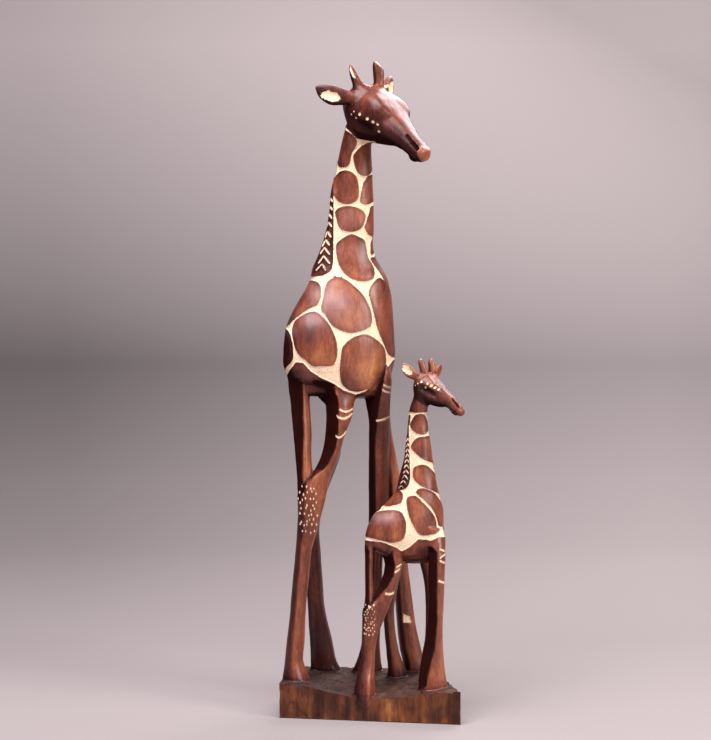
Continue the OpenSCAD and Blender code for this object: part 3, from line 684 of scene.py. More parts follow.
def dots(x0, x1, z0, z1, nx, nz, rx, rz, ok, seed):
    """Rows of small upright chips, each a little out of line."""
    r = np.random.default_rng(seed)
    for j in range(nz):
        for i in range(nx):
            if r.random() < .09:
                continue
            cx = x0 + (x1 - x0) * (i + .5 * (j % 2) + r.uniform(-.28, .28)) / (nx - .5)
            cz = z0 + (z1 - z0) * (j + r.uniform(-.34, .34)) / (nz - 1)
            k = ok & (np.abs(x - cx) < 5) & (np.abs(z - cz) < 6)
            q = np.sqrt(((x[k] - cx) / rx) ** 2 + ((z[k] - cz) / rz) ** 2)
            cream[k] = np.maximum(cream[k], (1 - q) * rx)


front = N[:, 1] < .1
far = N[:, 1] > -.1
for ok, hind, fore in ((front & (y < 12), 0, 0), (far & (y > 30), 1, 1)):
    band(-38 - 5 * hind, 378, -20, 379.5, 3.5, 2.7, ok)
    band(-41.5 - 5 * hind, 369.5, -22, 373, 4, 3.0, ok)
    band(-42.5 - 3 * hind, 345, -31.5, 350, 3.5, 2.8, ok)
band(15.5, 406.5, 30, 402, 1.5, 2.8, front & (y < 24))
band(14.5, 400, 30, 396.5, 2, 3.0, front & (y < 24))
band(7, 362, 27, 368, 1, 2.6, front & (y < 34))
dots(-90, -67, 228, 282, 5, 9, .8, 1.7, front & (y < 4) & (x > -92), 3)
dots(-89, -64, 230, 280, 5, 9, .8, 1.7, far & (y > 44) & (x < -60), 4)
kc = (x > -20) & (y < -15) & front & (D[:, COL["c_rh"]] < 5)
band(31, 187.5, 40, 192, 0, 2.6, kc)
band(29, 181.5, 38, 186, 0, 2.6, kc)
band(17.5, 155.5, 27, 155.5, .8, 3.0, kc)
kf = front & (y < -30) & (D[:, COL["c_rf"]] < 3)
band(83.5, 210, 92, 205, 0, 2.4, kf)
band(83.5, 200, 92, 204, 0, 2.4, kf)
band(83.5, 196, 92, 191, 0, 2.4, kf)
band(81.5, 172, 90, 168, 0, 2.8, kf)
dots(-9, 3.5, 106, 140, 4, 10, .75, 1.2, front & (y < -30) & ((D[:, COL["c_rh"]] < 4) | (D[:, COL["c_tl"]] < 4)), 5)
# mane strokes, a pair of cuts to each step, alike on both sides of the crest
def stroke(x0, z0, x1, z1, wide, ok):
    dx, dz = x1 - x0, z1 - z0
    k = ok & (z > min(z0, z1) - 2) & (z < max(z0, z1) + 2) & (x > min(x0, x1) - 2) & (x < max(x0, x1) + 2)
    t = np.clip(((x[k] - x0) * dx + (z[k] - z0) * dz) / (dx * dx + dz * dz), 0, 1)
    q = np.hypot(x[k] - x0 - t * dx, z[k] - z0 - t * dz)
    cream[k] = np.maximum(cream[k], wide * (.55 + .45 * np.sin(np.pi * (.15 + .75 * t))) - q)


om, oc = mane_m < -.6, mane_c < -.3
for ax0, az0, lx, lz, rx, rz in ((-60, 554, -67.6, 546, -54.8, 546), (-58, 564, -64.3, 555, -51, 555), (-57, 574, -62, 566.4, -51.2, 566),
                                 (-55.3, 583.5, -59.8, 575, -51.2, 577), (-53, 593.5, -56.6, 586, -49.2, 586.6),
                                 (-51.8, 604.8, -54.8, 598, -48.4, 599.5), (-51.4, 615, -53.5, 609, -48.6, 609.7),
                                 (-50.4, 624.6, -52, 619, -48, 620), (-49.6, 634, -51, 629, -47.6, 630)):
    stroke(ax0 + .5, az0 - .8, rx, rz, 1.25, om)
    stroke(ax0 - .5, az0 - .3, lx, lz, .85, om)
for i in range(10):
    zc = 282 + 6.4 * i
    xc = float(np.interp(zc, [280, 290, 300, 320, 345, 360], [36, 39.5, 42, 44, 44.6, 44]))
    sp = float(np.interp(zc, [280, 300, 350], [4.2, 3, 1.6]))
    stroke(xc + .3, zc + 3.2, xc + sp, zc - 1, .72, oc)
    stroke(xc - .3, zc + 3.2, xc - sp, zc - 1, .6, oc)
# eyes, ears and horn tips
ht, hc = hd.local(x, y, z), ch.local(x, y, z)
on_m = (D[:, COL["m_hd"]] < 4) & (z > 650) & (D[:, COL["m_hd"]] < D[:, COL["m_trunk"]] + 4)
on_c = (D[:, COL["c_hd"]] < 3) & (z > 355) & (D[:, COL["c_hd"]] < D[:, COL["c_trunk"]] + 3)
for cc, on, loc in (([(-4, 1.5, 1.0), (6, -.6, 1.9), (19, -1.9, 1.9), (27, -2.3, 1.7), (33, -2.4, 1.4), (37.5, 4.7, 1.4), (2, 7, 1.4), (-6, 6.5, 1.0)],
                     on_m, ht),
                    ([(-8, -1, 1.0), (-5, -5.7, 1.5), (2.5, -8.3, 1.5), (8, -9.0, 1.6), (13, -9.3, 1.5), (17.5, -9.4, 1.2), (3, -2.9, 1.5), (-9.5, 3, .9)],
                     on_c, hc)):
    for t0, u0, rr in cc:
        k = on & (np.abs(loc[2] - t0) < 5) & (np.abs(loc[0] - u0) < 5) & (np.abs(loc[1]) > 5)
        q = np.sqrt((loc[2][k] - t0) ** 2 + (loc[0][k] - u0) ** 2)
        cream[k] = np.maximum(cream[k], rr - q)
for st, sg, cc, rr, col in ((mre, 1, (5, 27), (6.0, 12), "m_re"), (mle, -1, (4, 19), (6.5, 13), "m_le"), (cre, 1, (2, 18), (4, 8), "c_re")):
    e = st.local(x, y, z)
    q = np.sqrt(((e[0] - cc[0]) / rr[0]) ** 2 + ((e[2] - cc[1]) / rr[1]) ** 2) + .5 * (noise(x / 1.7, y / 1.7, z / 1.7, 15) - .5)
    k = (D[:, COL[col]] < 5) & (e[1] * sg > -1) & (e[2] > 4)
    marks(np.where(k, (1 - q) * rr[0], -9))
k = (D[:, COL["m_rn"]] < 2) & (z > 776) & (N[:, 0] - N[:, 1] > -.2)
marks(np.where(k, np.minimum((z - 779) * .4, 1.5 - np.abs(x + 22.5 - (783 - z) * .45)), -9))
k = (D[:, COL["m_ln"]] < 2) & (z > 788)
marks(np.where(k, np.minimum((z - 798 + (x - 6) * .9) * .6, 9), -9))
k = (D[:, COL["m_le"]] < 2) & (z > 762) & (z < 776) & (x < 22)
marks(np.where(k, .6 - np.abs(z - 770 - .3 * (x - 16)) * .3, -9))
for c3, rr in (((56.0, -27.0, 433.0), 4.5), ((74, -10, 441), 2.6), ((60, -20, 441), 2.6)):
    k = (z > 425) & (D[:, COL["c_hd"]] > 2)
    marks(np.where(k, rr - np.sqrt((x - c3[0]) ** 2 + (y - c3[1]) ** 2 + (z - c3[2]) ** 2), -9))
# a torn chip on the far foreleg
k = (D[:, COL["m_lf"]] < 3) & (N[:, 1] < 0) & (z > 100) & (z < 120) & (x > 30)
marks(np.where(k, np.minimum(np.minimum(x - 40.5, 51 - x - .25 * (z - 104)), np.minimum(z - 104, 116 - z - .5 * (x - 40))), -9))
cream_m = cream

# ---------------------------------------------------------------- carving into the skin
E0 = np.concatenate([F[:, [0, 1]], F[:, [1, 2]], F[:, [2, 0]]])
DEG = np.bincount(E0[:, 0], minlength=len(P)) + np.bincount(E0[:, 1], minlength=len(P)) + 0.0


def spread(v, times):
    """Averages a value with its neighbours on the skin."""
    for _ in range(times):
        w = np.bincount(E0[:, 0], v[E0[:, 1]], len(P)) + np.bincount(E0[:, 1], v[E0[:, 0]], len(P))
        v = .4 * v + .6 * w / DEG
    return v


dep = np.zeros(len(P))
body = step(44, 60, z)
wear0 = noise(x / 11, y / 11, z / 20, 3)
dep += .55 * (wear0 - .5) * body
dep += .35 * (noise(x / 5, y / 5, z / 11, 4) - .5) * body
chip = noise(x / 2.2, y / 2.2, z / 2.6, 5)
dep -= (.75 + .35 * chip) * step(-.1, .9, cream)
dep += .3 * step(-2.4, -.4, cream) * step(.4, -.2, cream) * (z > 60)
# gouged top of the block, its rough sawn sides and the broken front edge
top = (D[:, COL["base"]] < 3) & (z > 15)
gz = np.zeros(len(P))
r = np.random.default_rng(11)
ids = np.nonzero(top)[0]
legs = np.min(D[:, [COL[k] for k in ("m_rh", "m_lh", "m_rf", "m_lf", "c_rh", "c_lh", "c_rf", "c_lf")]], 1)
gx, gy = x[ids], y[ids]
for i in range(420):
    cx, cy = r.uniform(-112, 110), r.uniform(-66, 68)
    a, ln, wd, dp = r.normal(.35, .5), r.uniform(5, 13), r.uniform(2.5, 5.5), r.uniform(.5, 2.4)
    u = ((gx - cx) * math.cos(a) + (gy - cy) * math.sin(a)) / ln
    v = ((gy - cy) * math.cos(a) - (gx - cx) * math.sin(a)) / wd
    q = u * u + v * v
    k = q < 1
    gz[ids[k]] = np.maximum(gz[ids[k]], dp * (1 - q[k]) * (1 + .6 * u[k]))
gouge = gz * step(.3, 3.5, legs) * (N[:, 2] > .3)
dep -= gouge * top
dep += .8 * (noise(x / 4, y / 4, z / 4, 8) - .5) * top * (N[:, 2] > .3)
sides = (D[:, COL["base"]] < 2) & (np.abs(N[:, 2]) < .5) & (z < 45)
dep -= sides * (.9 * noise(x / 3.2, y / 3.2, z / 30, 9) + .7 * step(.55, .8, noise(x / 9, y / 9, z / 14, 10)))
P2 = P + N * dep[:, None]
P2[:, 2] = np.where(z < 1.0, P[:, 2], np.maximum(P2[:, 2], 0))
P2[:, 2] = np.minimum(P2[:, 2], 800)
N2 = normals(P2, F)

# ---------------------------------------------------------------- stain and painted light: how dark or golden each place is, real stain with painted shade and painted highlights added below
Ns = np.stack([spread(N2[:, i], 2) for i in range(3)], 1)
L = [spread(P2[:, i], 1) for i in range(3)]
cv = spread((P2[:, 0] - L[0]) * N2[:, 0] + (P2[:, 1] - L[1]) * N2[:, 1] + (P2[:, 2] - L[2]) * N2[:, 2], 2) / H
tone = np.full(len(P), .46)


def spot(x0, z0, rx, rz, v, w=None):
    global tone
    g = np.exp(-((x - x0) / rx) ** 2 - ((z - z0) / rz) ** 2) * v
    tone = tone + (g if w is None else g * w)


tr = D[:, COL["m_trunk"]] < 8
spot(-3, 425, 20, 24, .22, tr)
spot(-65, 440, 22, 20, .24, tr)
spot(-22, 500, 34, 30, .10, tr)
# painted shade: the left edge of the mother's flank, turned away from the lights, is darkened
spot(-106, 450, 12, 34, -.60, tr)
spot(-28, 610, 15, 14, .05, tr)
spot(-72, 470, 22, 22, -.06, tr)
# painted shade: the left face of the tail strut, just below the cream line, is darkened
spot(-99, 414, 11, 13, -.30)
spot(-88, 500, 12, 20, .04, tr)
spot(28, 480, 14, 40, -.04, tr)
spot(-35, 700, 16, 34, -.20, tr)
spot(-10, 640, 30, 30, .02, tr)
ctr = D[:, COL["c_trunk"]] < 8
spot(10, 225, 22, 18, .12, ctr)
spot(66, 350, 14, 40, .10, ctr)
spot(62, 262, 10, 12, .12, ctr)
# painted shade under the calf's belly
spot(62, 205, 19, 9, -.34, ctr)
spot(-3, 215, 12, 12, -.1, ctr)
tone -= .12 * step(-5, -.5, cream) * (tr | ctr) * (z > 190)
lg = np.min(D[:, [COL[k] for k in ("m_rh", "m_lh", "m_rf", "m_lf", "c_rh", "c_lh", "c_rf", "c_lf", "m_tl", "c_tl")]], 1) < 4
lg = lg & (z < np.where((D[:, COL["c_trunk"]] < 12) & (z > 190), 213, 432))
# painted light and shade on the legs: faces turned towards +X are lighter, faces turned towards -X are darker; on the
# trunks the faces turned towards -X, and all undersides, are darker too, as painted shade
tone += .06 * step(.1, .75, Ns[:, 0]) * lg * (z > 50)
tone -= .30 * step(.3, .85, -Ns[:, 0]) * lg
tone -= .12 * step(.5, .95, -Ns[:, 0]) * (tr | ctr)
tone -= .30 * step(.25, .75, -Ns[:, 2]) * body
# painted shade: each flat cut down a limb faces away from the lights and is darkened by its own amount
for key, fn, painted_shade in CUTS:
    q = fn(x, y, z)
    own = D[:, COL[key]] < np.minimum(D[:, COL["m_trunk"]], D[:, COL["c_trunk"]]) + .4
    k = (D[:, COL[key]] < 1.6) & (q > -1.0) & own
    ends = {"c_tl": 216, "c_rf": 214, "c_rh": 212, "c_lh": 212}.get(key, 440)
    tone -= (painted_shade - .12) * k * step(-1.0, -.2, q) * step(ends, ends - 5, z) * (.75 + .5 * noise(x / 9, y / 9, z / 26, 14))
# painted shade: the hollows, slots, nostrils and mouth are darkened inside
for h, painted_shade in zip(HOLLOW, [.32, .24, .32, .28] + [.5] * 20):
    lo3, hi3 = h.lo - 5, h.hi + 5
    k = np.nonzero(((P >= lo3) & (P <= hi3)).all(1))[0]
    q = h(x[k], y[k], z[k])
    tone[k] -= painted_shade * step(1.6, .5, q) * (cream[k] < 0)
tone -= .03 * lg
# painted shade: the mother's far hind leg, in shadow behind the others, is darkened; her right foreleg is a little
# darker and the calf's right foreleg a little lighter
tone -= .16 * (D[:, COL["m_lh"]] < 3) * (z < 400) + .08 * (D[:, COL["m_rf"]] < 3) * (z < 400) - .05 * (D[:, COL["c_rf"]] < 3)
# ridges lighter, as rubbed wear and painted highlight; creases darker, as painted shade
tone += np.clip(cv * 1.6, -.22, .16) * body
tone -= .10 * step(60, 44, z)
# painted highlight: a bright upright streak down the front of the calf's near hind foot, over the block's edge
tone += .22 * np.exp(-((x + 3.5) / 2.2) ** 2) * (D[:, COL["c_rh"]] < 2) * (y < -44) * step(8, 26, z) * step(75, 50, z)
headd = D[:, COL["m_hd"]] < np.minimum(D[:, COL["m_trunk"]], 6)
hm = headd | (np.min(D[:, [COL[k] for k in ("m_rn", "m_ln", "m_re", "m_le")]], 1) < 2)
# the mother's head is darker, lighter on top and a little darker below: partly a redder stain on the brow, partly
# painted light on the top planes and painted shade underneath
up = step(2, -16, ht[0])
tone = np.where(hm, tone - .36 + .20 * up + .10 * np.exp(-((ht[2] - 45) / 22) ** 2) * step(-14, 0, ht[0]) * step(14, 4, ht[0]) - .05 * step(0, 12, ht[0]), tone)
tone -= .10 * on_m * np.exp(-((ht[2] - 16) / 14) ** 2 - ((ht[0] - 7) / 7) ** 2)
hcm = (D[:, COL["c_hd"]] < 4) & (z > 370)
tone = np.where(hcm, tone - .26 * step(-7, 7, hc[0]) - .03, tone)
tone -= .2 * hcm * np.exp(-((hc[2] - 10) / 8) ** 2 - ((hc[0] + 3) / 3) ** 2)
# the top of the calf's neck is darker on its left, where the dark mane runs up to the head, with painted shade on that
# side
tone -= .16 * (D[:, COL["c_trunk"]] < 5) * step(352, 368, z) * step(60, 52, x)
mn = (mane_m < 0) | ((mane_c < 0) & (z < 352))
tone -= .1 * (mane_c < 0) * (z >= 352)
tone = np.where(mn, tone - .22, tone)
lip = step(-1.6, 1.6, ht[2] - (90.5 + .55 * (ht[0] + 5))) * on_m
lipc = step(-1.5, 1.5, hc[2] - (50 + .5 * (hc[0] + 2))) * on_c
# painted shade in the hollow between the tail strut and the thigh
tone -= .34 * np.exp(-((x + 64) / 13) ** 2 - ((z - 397) / 11) ** 2) * (y > -16) * (y < 14)
# painted shade in the crevice where the feet meet the block
crevice_shade = (legs < 2.5) & (D[:, COL["base"]] < 5)
tone -= .08 * crevice_shade
# painted shade on the horns' faces turned towards -X
horns = np.min(D[:, [COL[k] for k in ("m_rn", "m_ln", "c_rn", "c_ln")]], 1) < 1.5
tone -= .22 * horns * step(.1, .7, -Ns[:, 0]) * (z > 420)
tone = tone * (1 - lip) + .56 * lip
tone = tone * (1 - lipc) + .46 * lipc
crack = np.where(tr & (np.abs(x + 39) < 17) & (y < 0), np.abs(z - 498.5 - .8 * np.sin(x / 5)) + .02 * np.abs(x + 39), 9.0)

# the painted sheen: a pinkish highlight painted on the parts that face up and forward, where the lights glint on the
# polish
painted_sheen = np.zeros(len(P))
for x0, z0, rx, rz, v in ((-43, 512, 17, 13, .40), (-40, 492, 26, 18, .12), (-72, 487, 13, 9, .36), (-68, 519, 7, 9, .30),
                          (-97, 474, 8, 8, .10), (31, 470, 8, 40, .10), (15, 247, 15, 7, .34), (-26, 612, 12, 12, .12),
                          (-16, 572, 14, 10, .10)):
    painted_sheen += v * np.exp(-((x - x0) / rx) ** 2 - ((z - z0) / rz) ** 2) * (y < 14)
painted_sheen *= (tr | ctr) & (cream < 0)
painted_sheen += .24 * on_m * np.exp(-((ht[1] - 2 + .04 * ht[2]) / np.interp(ht[2], [-10, 15, 40, 80], [11, 10, 6, 4])) ** 2) * step(-6, -15 + 4, ht[0]) * step(-14, 2, ht[2]) * step(86, 70, ht[2])
painted_sheen += .16 * on_c * np.exp(-((hc[1] - 1) / 4) ** 2) * step(-3, -7, hc[0]) * step(44, 34, hc[2])
painted_sheen *= .75 + .5 * noise(x / 7, y / 7, z / 12, 18)

# ---------------------------------------------------------------- parting into pieces
A = np.concatenate([P2, N2, D, cream[:, None], z[:, None], mane_m[:, None], mane_c[:, None], tone[:, None], crack[:, None],
                    gouge[:, None], painted_sheen[:, None]], 1)
iD, iC, iZ, iM, iN, iT, iK, iG, iB = [6 + (j and len(ORDER) + j - 1) for j in range(9)]


def cut(A, F, s):
    """Parts triangles along s = 0; gives the points, the faces under it and the rest."""
    neg = s < 0
    f = neg[F]
    c = f.sum(1)
    inn, out, mix = F[c == 3], F[c == 0], F[(c == 1) | (c == 2)]
    if not len(mix):
        return A, inn, out
    f = neg[mix]
    one = f.sum(1) == 1
    lone = np.where(one, f.argmax(1), (~f).argmax(1))
    r = np.arange(len(mix))
    v0, v1, v2 = mix[r, lone], mix[r, (lone + 1) % 3], mix[r, (lone + 2) % 3]
    e = np.sort(np.stack([np.concatenate([v0, v0]), np.concatenate([v1, v2])], 1), 1)
    key = e[:, 0] * np.int64(len(A)) + e[:, 1]
    uq, first, inv = np.unique(key, return_index=True, return_inverse=True)
    a, b = e[first, 0], e[first, 1]
    t = np.clip(s[a] / (s[a] - s[b]), .02, .98)[:, None]
    new = A[a] * (1 - t) + A[b] * t
    inv = inv.reshape(-1) + len(A)
    A = np.concatenate([A, new])
    e1, e2 = inv[:len(mix)], inv[len(mix):]
    tri = np.stack([v0, e1, e2], 1)
    q = np.concatenate([np.stack([e1, v1, v2], 1), np.stack([e1, v2, e2], 1)])
    o2 = np.concatenate([one, one])
    inn = np.concatenate([inn, tri[one], q[~o2]])
    out = np.concatenate([out, tri[~one], q[o2]])
    return A, inn, out


parts = {}
rest = F
for col, name in ((iM, "mother_mane"), (iN, "calf_mane")):
    A, parts[name], rest = cut(A, rest, A[:, col])
left = list(range(len(ORDER)))
for k in ORDER[:-3]:
    left.remove(COL[k])
    s = A[:, iD + COL[k]] - A[:, [iD + j for j in left]].min(1)
    A, parts[NODES[k]], rest = cut(A, rest, s)
s = A[:, iD + COL["base"]] - A[:, [iD + COL["m_trunk"], iD + COL["c_trunk"]]].min(1)
A, parts["base_block"], rest = cut(A, rest, s)
s = A[:, iD + COL["m_trunk"]] - A[:, iD + COL["c_trunk"]]
A, mo, ca = cut(A, rest, s)
A, parts["mother_torso"], parts["mother_neck"] = cut(A, mo, A[:, iZ] - 538)
A, parts["calf_torso"], parts["calf_neck"] = cut(A, ca, A[:, iZ] - 277)


def caps(A, F):
    """Closes each open rim with a fan to its middle."""
    e = np.concatenate([F[:, [0, 1]], F[:, [1, 2]], F[:, [2, 0]]])
    m = np.int64(len(A))
    key = e.min(1) * m + e.max(1)
    uq, idx, cnt = np.unique(key, return_index=True, return_counts=True)
    rim = e[idx[cnt == 1]]
    nxt = {}
    for a, b in rim:
        nxt.setdefault(int(a), []).append(int(b))
    pts, tris = [], []
    while nxt:
        a0 = next(iter(nxt))
        loop, a = [], a0
        while a in nxt:
            loop.append(a)
            b = nxt[a].pop()
            if not nxt[a]:
                del nxt[a]
            a = b
            if a == a0:
                break
        if len(loop) < 3 or a != a0:
            continue
        c = len(A) + len(pts)
        pts.append(A[loop].mean(0))
        for i, a in enumerate(loop):
            tris.append((loop[(i + 1) % len(loop)], a, c))
    if not tris:
        return A, F
    return np.concatenate([A, np.array(pts)]), np.concatenate([F, np.array(tris, np.int64)])


def largest(F):
    """Drops specks: keeps shells of over 200 faces."""
    ids = np.unique(F)
    lab = np.full(ids.max() + 1, -1)
    lab[ids] = np.arange(len(ids))
    G = lab[F]
    root = np.arange(len(ids))
    while True:
        m = root[G].min(1)
        new = root.copy()
        for k in range(3):
            np.minimum.at(new, G[:, k], m)
        new = new[new]
        if (new == root).all():
            break
        root = new
    r = root[G[:, 0]]
    cnt = np.bincount(r, minlength=len(ids))
    return F[cnt[r] > 200], F[cnt[r] <= 200]


SLOT = {}
for k in NODES.values():
    SLOT[k] = "brown_stain"
for k in ("mother_torso", "mother_neck", "calf_torso", "calf_neck"):
    SLOT[k] = "spotted_coat"
for k in ("mother_mane", "calf_mane", "mother_head", "mother_right_ear", "mother_left_ear", "mother_right_horn", "mother_left_horn"):
    SLOT[k] = "dark_stain"
SLOT["base_block"] = "rough_block"

# ---------------------------------------------------------------- materials


def material(name, kind):
    m = bpy.data.materials.new(name)
    m.use_nodes = True
    nt = m.node_tree
    nt.nodes.clear()
    o = nt.nodes.new("ShaderNodeOutputMaterial")
    b = nt.nodes.new("ShaderNodeBsdfPrincipled")
    nt.links.new(b.outputs[0], o.inputs[0])
    tc = nt.nodes.new("ShaderNodeTexCoord")

    def noi(scale, sx=1, sy=1, sz=1, detail=4, rough=.5):
        mp = nt.nodes.new("ShaderNodeMapping")
        mp.inputs["Scale"].default_value = (sx, sy, sz)
        nt.links.new(tc.outputs["Object"], mp.inputs[0])
        t = nt.nodes.new("ShaderNodeTexNoise")
        t.inputs["Scale"].default_value = scale
        t.inputs["Detail"].default_value = detail
        t.inputs["Roughness"].default_value = rough
        nt.links.new(mp.outputs[0], t.inputs[0])
        return t.outputs["Fac"]

    def mth(op, a, b=None, clamp=False):
        q = nt.nodes.new("ShaderNodeMath")
        q.operation = op
        q.use_clamp = clamp
        for i, v in enumerate((a, b)):
            if v is None:
                continue
            if isinstance(v, (int, float)):
                q.inputs[i].default_value = v
            else:
                nt.links.new(v, q.inputs[i])
        return q.outputs[0]

    def ramp(v, stops):
        r = nt.nodes.new("ShaderNodeValToRGB")
        nt.links.new(v, r.inputs[0])
        el = r.color_ramp.elements
        while len(el) < len(stops):
            el.new(.5)
        for e, (p, c) in zip(el, stops):
            e.position = p
            e.color = (*c, 1)
        return r.outputs[0]

    def mix(f, a, b):
        q = nt.nodes.new("ShaderNodeMix")
        q.data_type = "RGBA"
        nt.links.new(f, q.inputs[0])
        for i, v in ((6, a), (7, b)):
            if isinstance(v, tuple):
                q.inputs[i].default_value = (*v, 1)
            else:
                nt.links.new(v, q.inputs[i])
        return q.outputs[2]

    def attr(n):
        a = nt.nodes.new("ShaderNodeAttribute")
        a.attribute_name = n
        return a.outputs["Fac"]

    fine = noi(90, 8, 8, .5, 5, .6)
    mid = noi(26, 2.6, 2.6, .45, 4)
    big = noi(16, 1, 1, .7, 3)
    blot = noi(60, 1, 1, .6, 3, .6)
    tn = attr("tone")
    dust = noi(420, 1, 1, .5, 3, .6)
    v = mth("ADD", mth("MULTIPLY", mth("SUBTRACT", fine, .5), .36), mth("MULTIPLY", mth("SUBTRACT", mid, .5), .5))
    v = mth("ADD", v, mth("MULTIPLY", mth("SUBTRACT", big, .5), .6))
    v = mth("ADD", v, mth("MULTIPLY", mth("SUBTRACT", blot, .5), .36))
    v = mth("ADD", v, mth("MULTIPLY", mth("SUBTRACT", dust, .5), .34))
    v = mth("ADD", v, tn, True)
    if kind == "block":
        v = mth("SUBTRACT", v, .06)
        sx = noi(34, 3.0, 3.0, .26, 5, .68)
        bl = noi(30, 1.6, 1.6, .7, 4, .6)
        streak = mth("MULTIPLY", mth("SUBTRACT", mth("ADD", mth("MULTIPLY", sx, .5), mth("MULTIPLY", bl, .75)), .49), 2.9, True)
        sep = nt.nodes.new("ShaderNodeSeparateXYZ")
        gm = nt.nodes.new("ShaderNodeNewGeometry")
        nt.links.new(gm.outputs["Normal"], sep.inputs[0])
        flank = mth("SUBTRACT", 1.15, mth("MULTIPLY", mth("ABSOLUTE", sep.outputs[2]), 1.9), True)
        col = ramp(v, [(.1, (.014, .006, .0045)), (.4, (.058, .022, .014)), (.7, (.15, .062, .034)), (.95, (.30, .155, .09))])
        amber = ramp(streak, [(.0, (.038, .012, .008)), (.3, (.085, .026, .013)), (.65, (.19, .060, .022)), (1.0, (.40, .16, .05))])
        col = mix(mth("MULTIPLY", flank, .95), col, amber)
    else:
        col = ramp(v, [(.0, (.022, .0055, .0045)), (.16, (.045, .0095, .0075)), (.34, (.112, .025, .014)), (.52, (.225, .057, .027)),
                       (.7, (.37, .122, .047)), (.9, (.60, .25, .095))])
        # painted sheen: a pinkish highlight mixed into the colour
        col = mix(mth("MULTIPLY", attr("painted_sheen"), 1.0, True), col, (.60, .42, .42))
    cr = attr("cream")
    jit = mth("MULTIPLY", mth("SUBTRACT", noi(330, 1, 1, 1, 2), .5), 1.1)
    mask = mth("MULTIPLY", mth("ADD", mth("ADD", cr, jit), .15), 2.6, True)
    speck = noi(700, 1, 1, 1, 3, .7)
    raw = ramp(speck, [(.28, (.45, .23, .11)), (.4, (.82, .58, .36)), (.58, (.97, .79, .57))])
    ck = mth("SUBTRACT", 1.0, mth("MULTIPLY", attr("crack"), 1.6), True)
    col = mix(mth("MULTIPLY", ck, .75), col, (.05, .015, .012))
    nt.links.new(mix(mask, col, raw), b.inputs["Base Color"])
    rg = mth("ADD", mth("MULTIPLY", fine, .20), .27 if kind != "block" else .55)
    pit = mth("MULTIPLY", mth("SUBTRACT", .1, tn), 3.0, True)
    rr = mth("ADD", mth("MULTIPLY", mth("MAXIMUM", mask, pit), .4), rg, True)
    nt.links.new(rr, b.inputs["Roughness"])
    bp = nt.nodes.new("ShaderNodeBump")
    bp.inputs["Distance"].default_value = .0005
    bp.inputs["Strength"].default_value = .55 if kind != "block" else 1.0
    hh = mth("ADD", mth("MULTIPLY", fine, .3 if kind != "block" else 1.5), mth("MULTIPLY", mth("MULTIPLY", speck, mask), 1.5))
    nt.links.new(hh, bp.inputs["Height"])
    nt.links.new(bp.outputs[0], b.inputs["Normal"])
    if kind == "block":
        b.inputs["Specular IOR Level"].default_value = .22
    else:  # the dark stain is flatter than the polished golden wood
        nt.links.new(mth("ADD", mth("MULTIPLY", tn, .9), .10, True), b.inputs["Specular IOR Level"])
    return m


MAT = {"spotted_coat": material("stained_wood", "coat"), "dark_stain": material("dark_stained_wood", "dark"),
       "rough_block": material("rough_block_wood", "block")}
MAT["brown_stain"] = MAT["spotted_coat"]


MAT["dark_stain"] = MAT["brown_stain"]


def build(name, A, F):
    F, specks = largest(F)
    A, F = caps(A, F)
    ids, inv = np.unique(F, return_inverse=True)
    V = A[ids]
    F = inv.reshape(-1, 3)
    me = bpy.data.meshes.new(name + "_skin")
    me.vertices.add(len(V))
    me.vertices.foreach_set("co", (V[:, :3] / 1000).astype(np.float32).ravel())
    me.loops.add(len(F) * 3)
    me.loops.foreach_set("vertex_index", F.astype(np.int32).ravel())
    me.polygons.add(len(F))
    me.polygons.foreach_set("loop_start", (np.arange(len(F)) * 3).astype(np.int32))
    me.update(calc_edges=True)
    me.validate()
    for an, ai in (("cream", iC), ("tone", iT), ("crack", iK), ("painted_sheen", iB)):
        at = me.attributes.new(an, "FLOAT", "POINT")
        at.data.foreach_set("value", V[:, ai].astype(np.float32))
    me.polygons.foreach_set("use_smooth", np.ones(len(me.polygons), bool))
    nn = V[:, 3:6] / (np.linalg.norm(V[:, 3:6], axis=1)[:, None] + 1e-12)
    me.normals_split_custom_set_from_vertices(nn.tolist())
    ob = bpy.data.objects.new(name + "_carved", me)
    bpy.context.scene.collection.objects.link(ob)
    me.materials.append(MAT[SLOT[name]])
    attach(ob, "root")
    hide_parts(name)
    return ob


for name, f in parts.items():
    ob = build(name, A, f)
    print(name, len(ob.data.polygons))

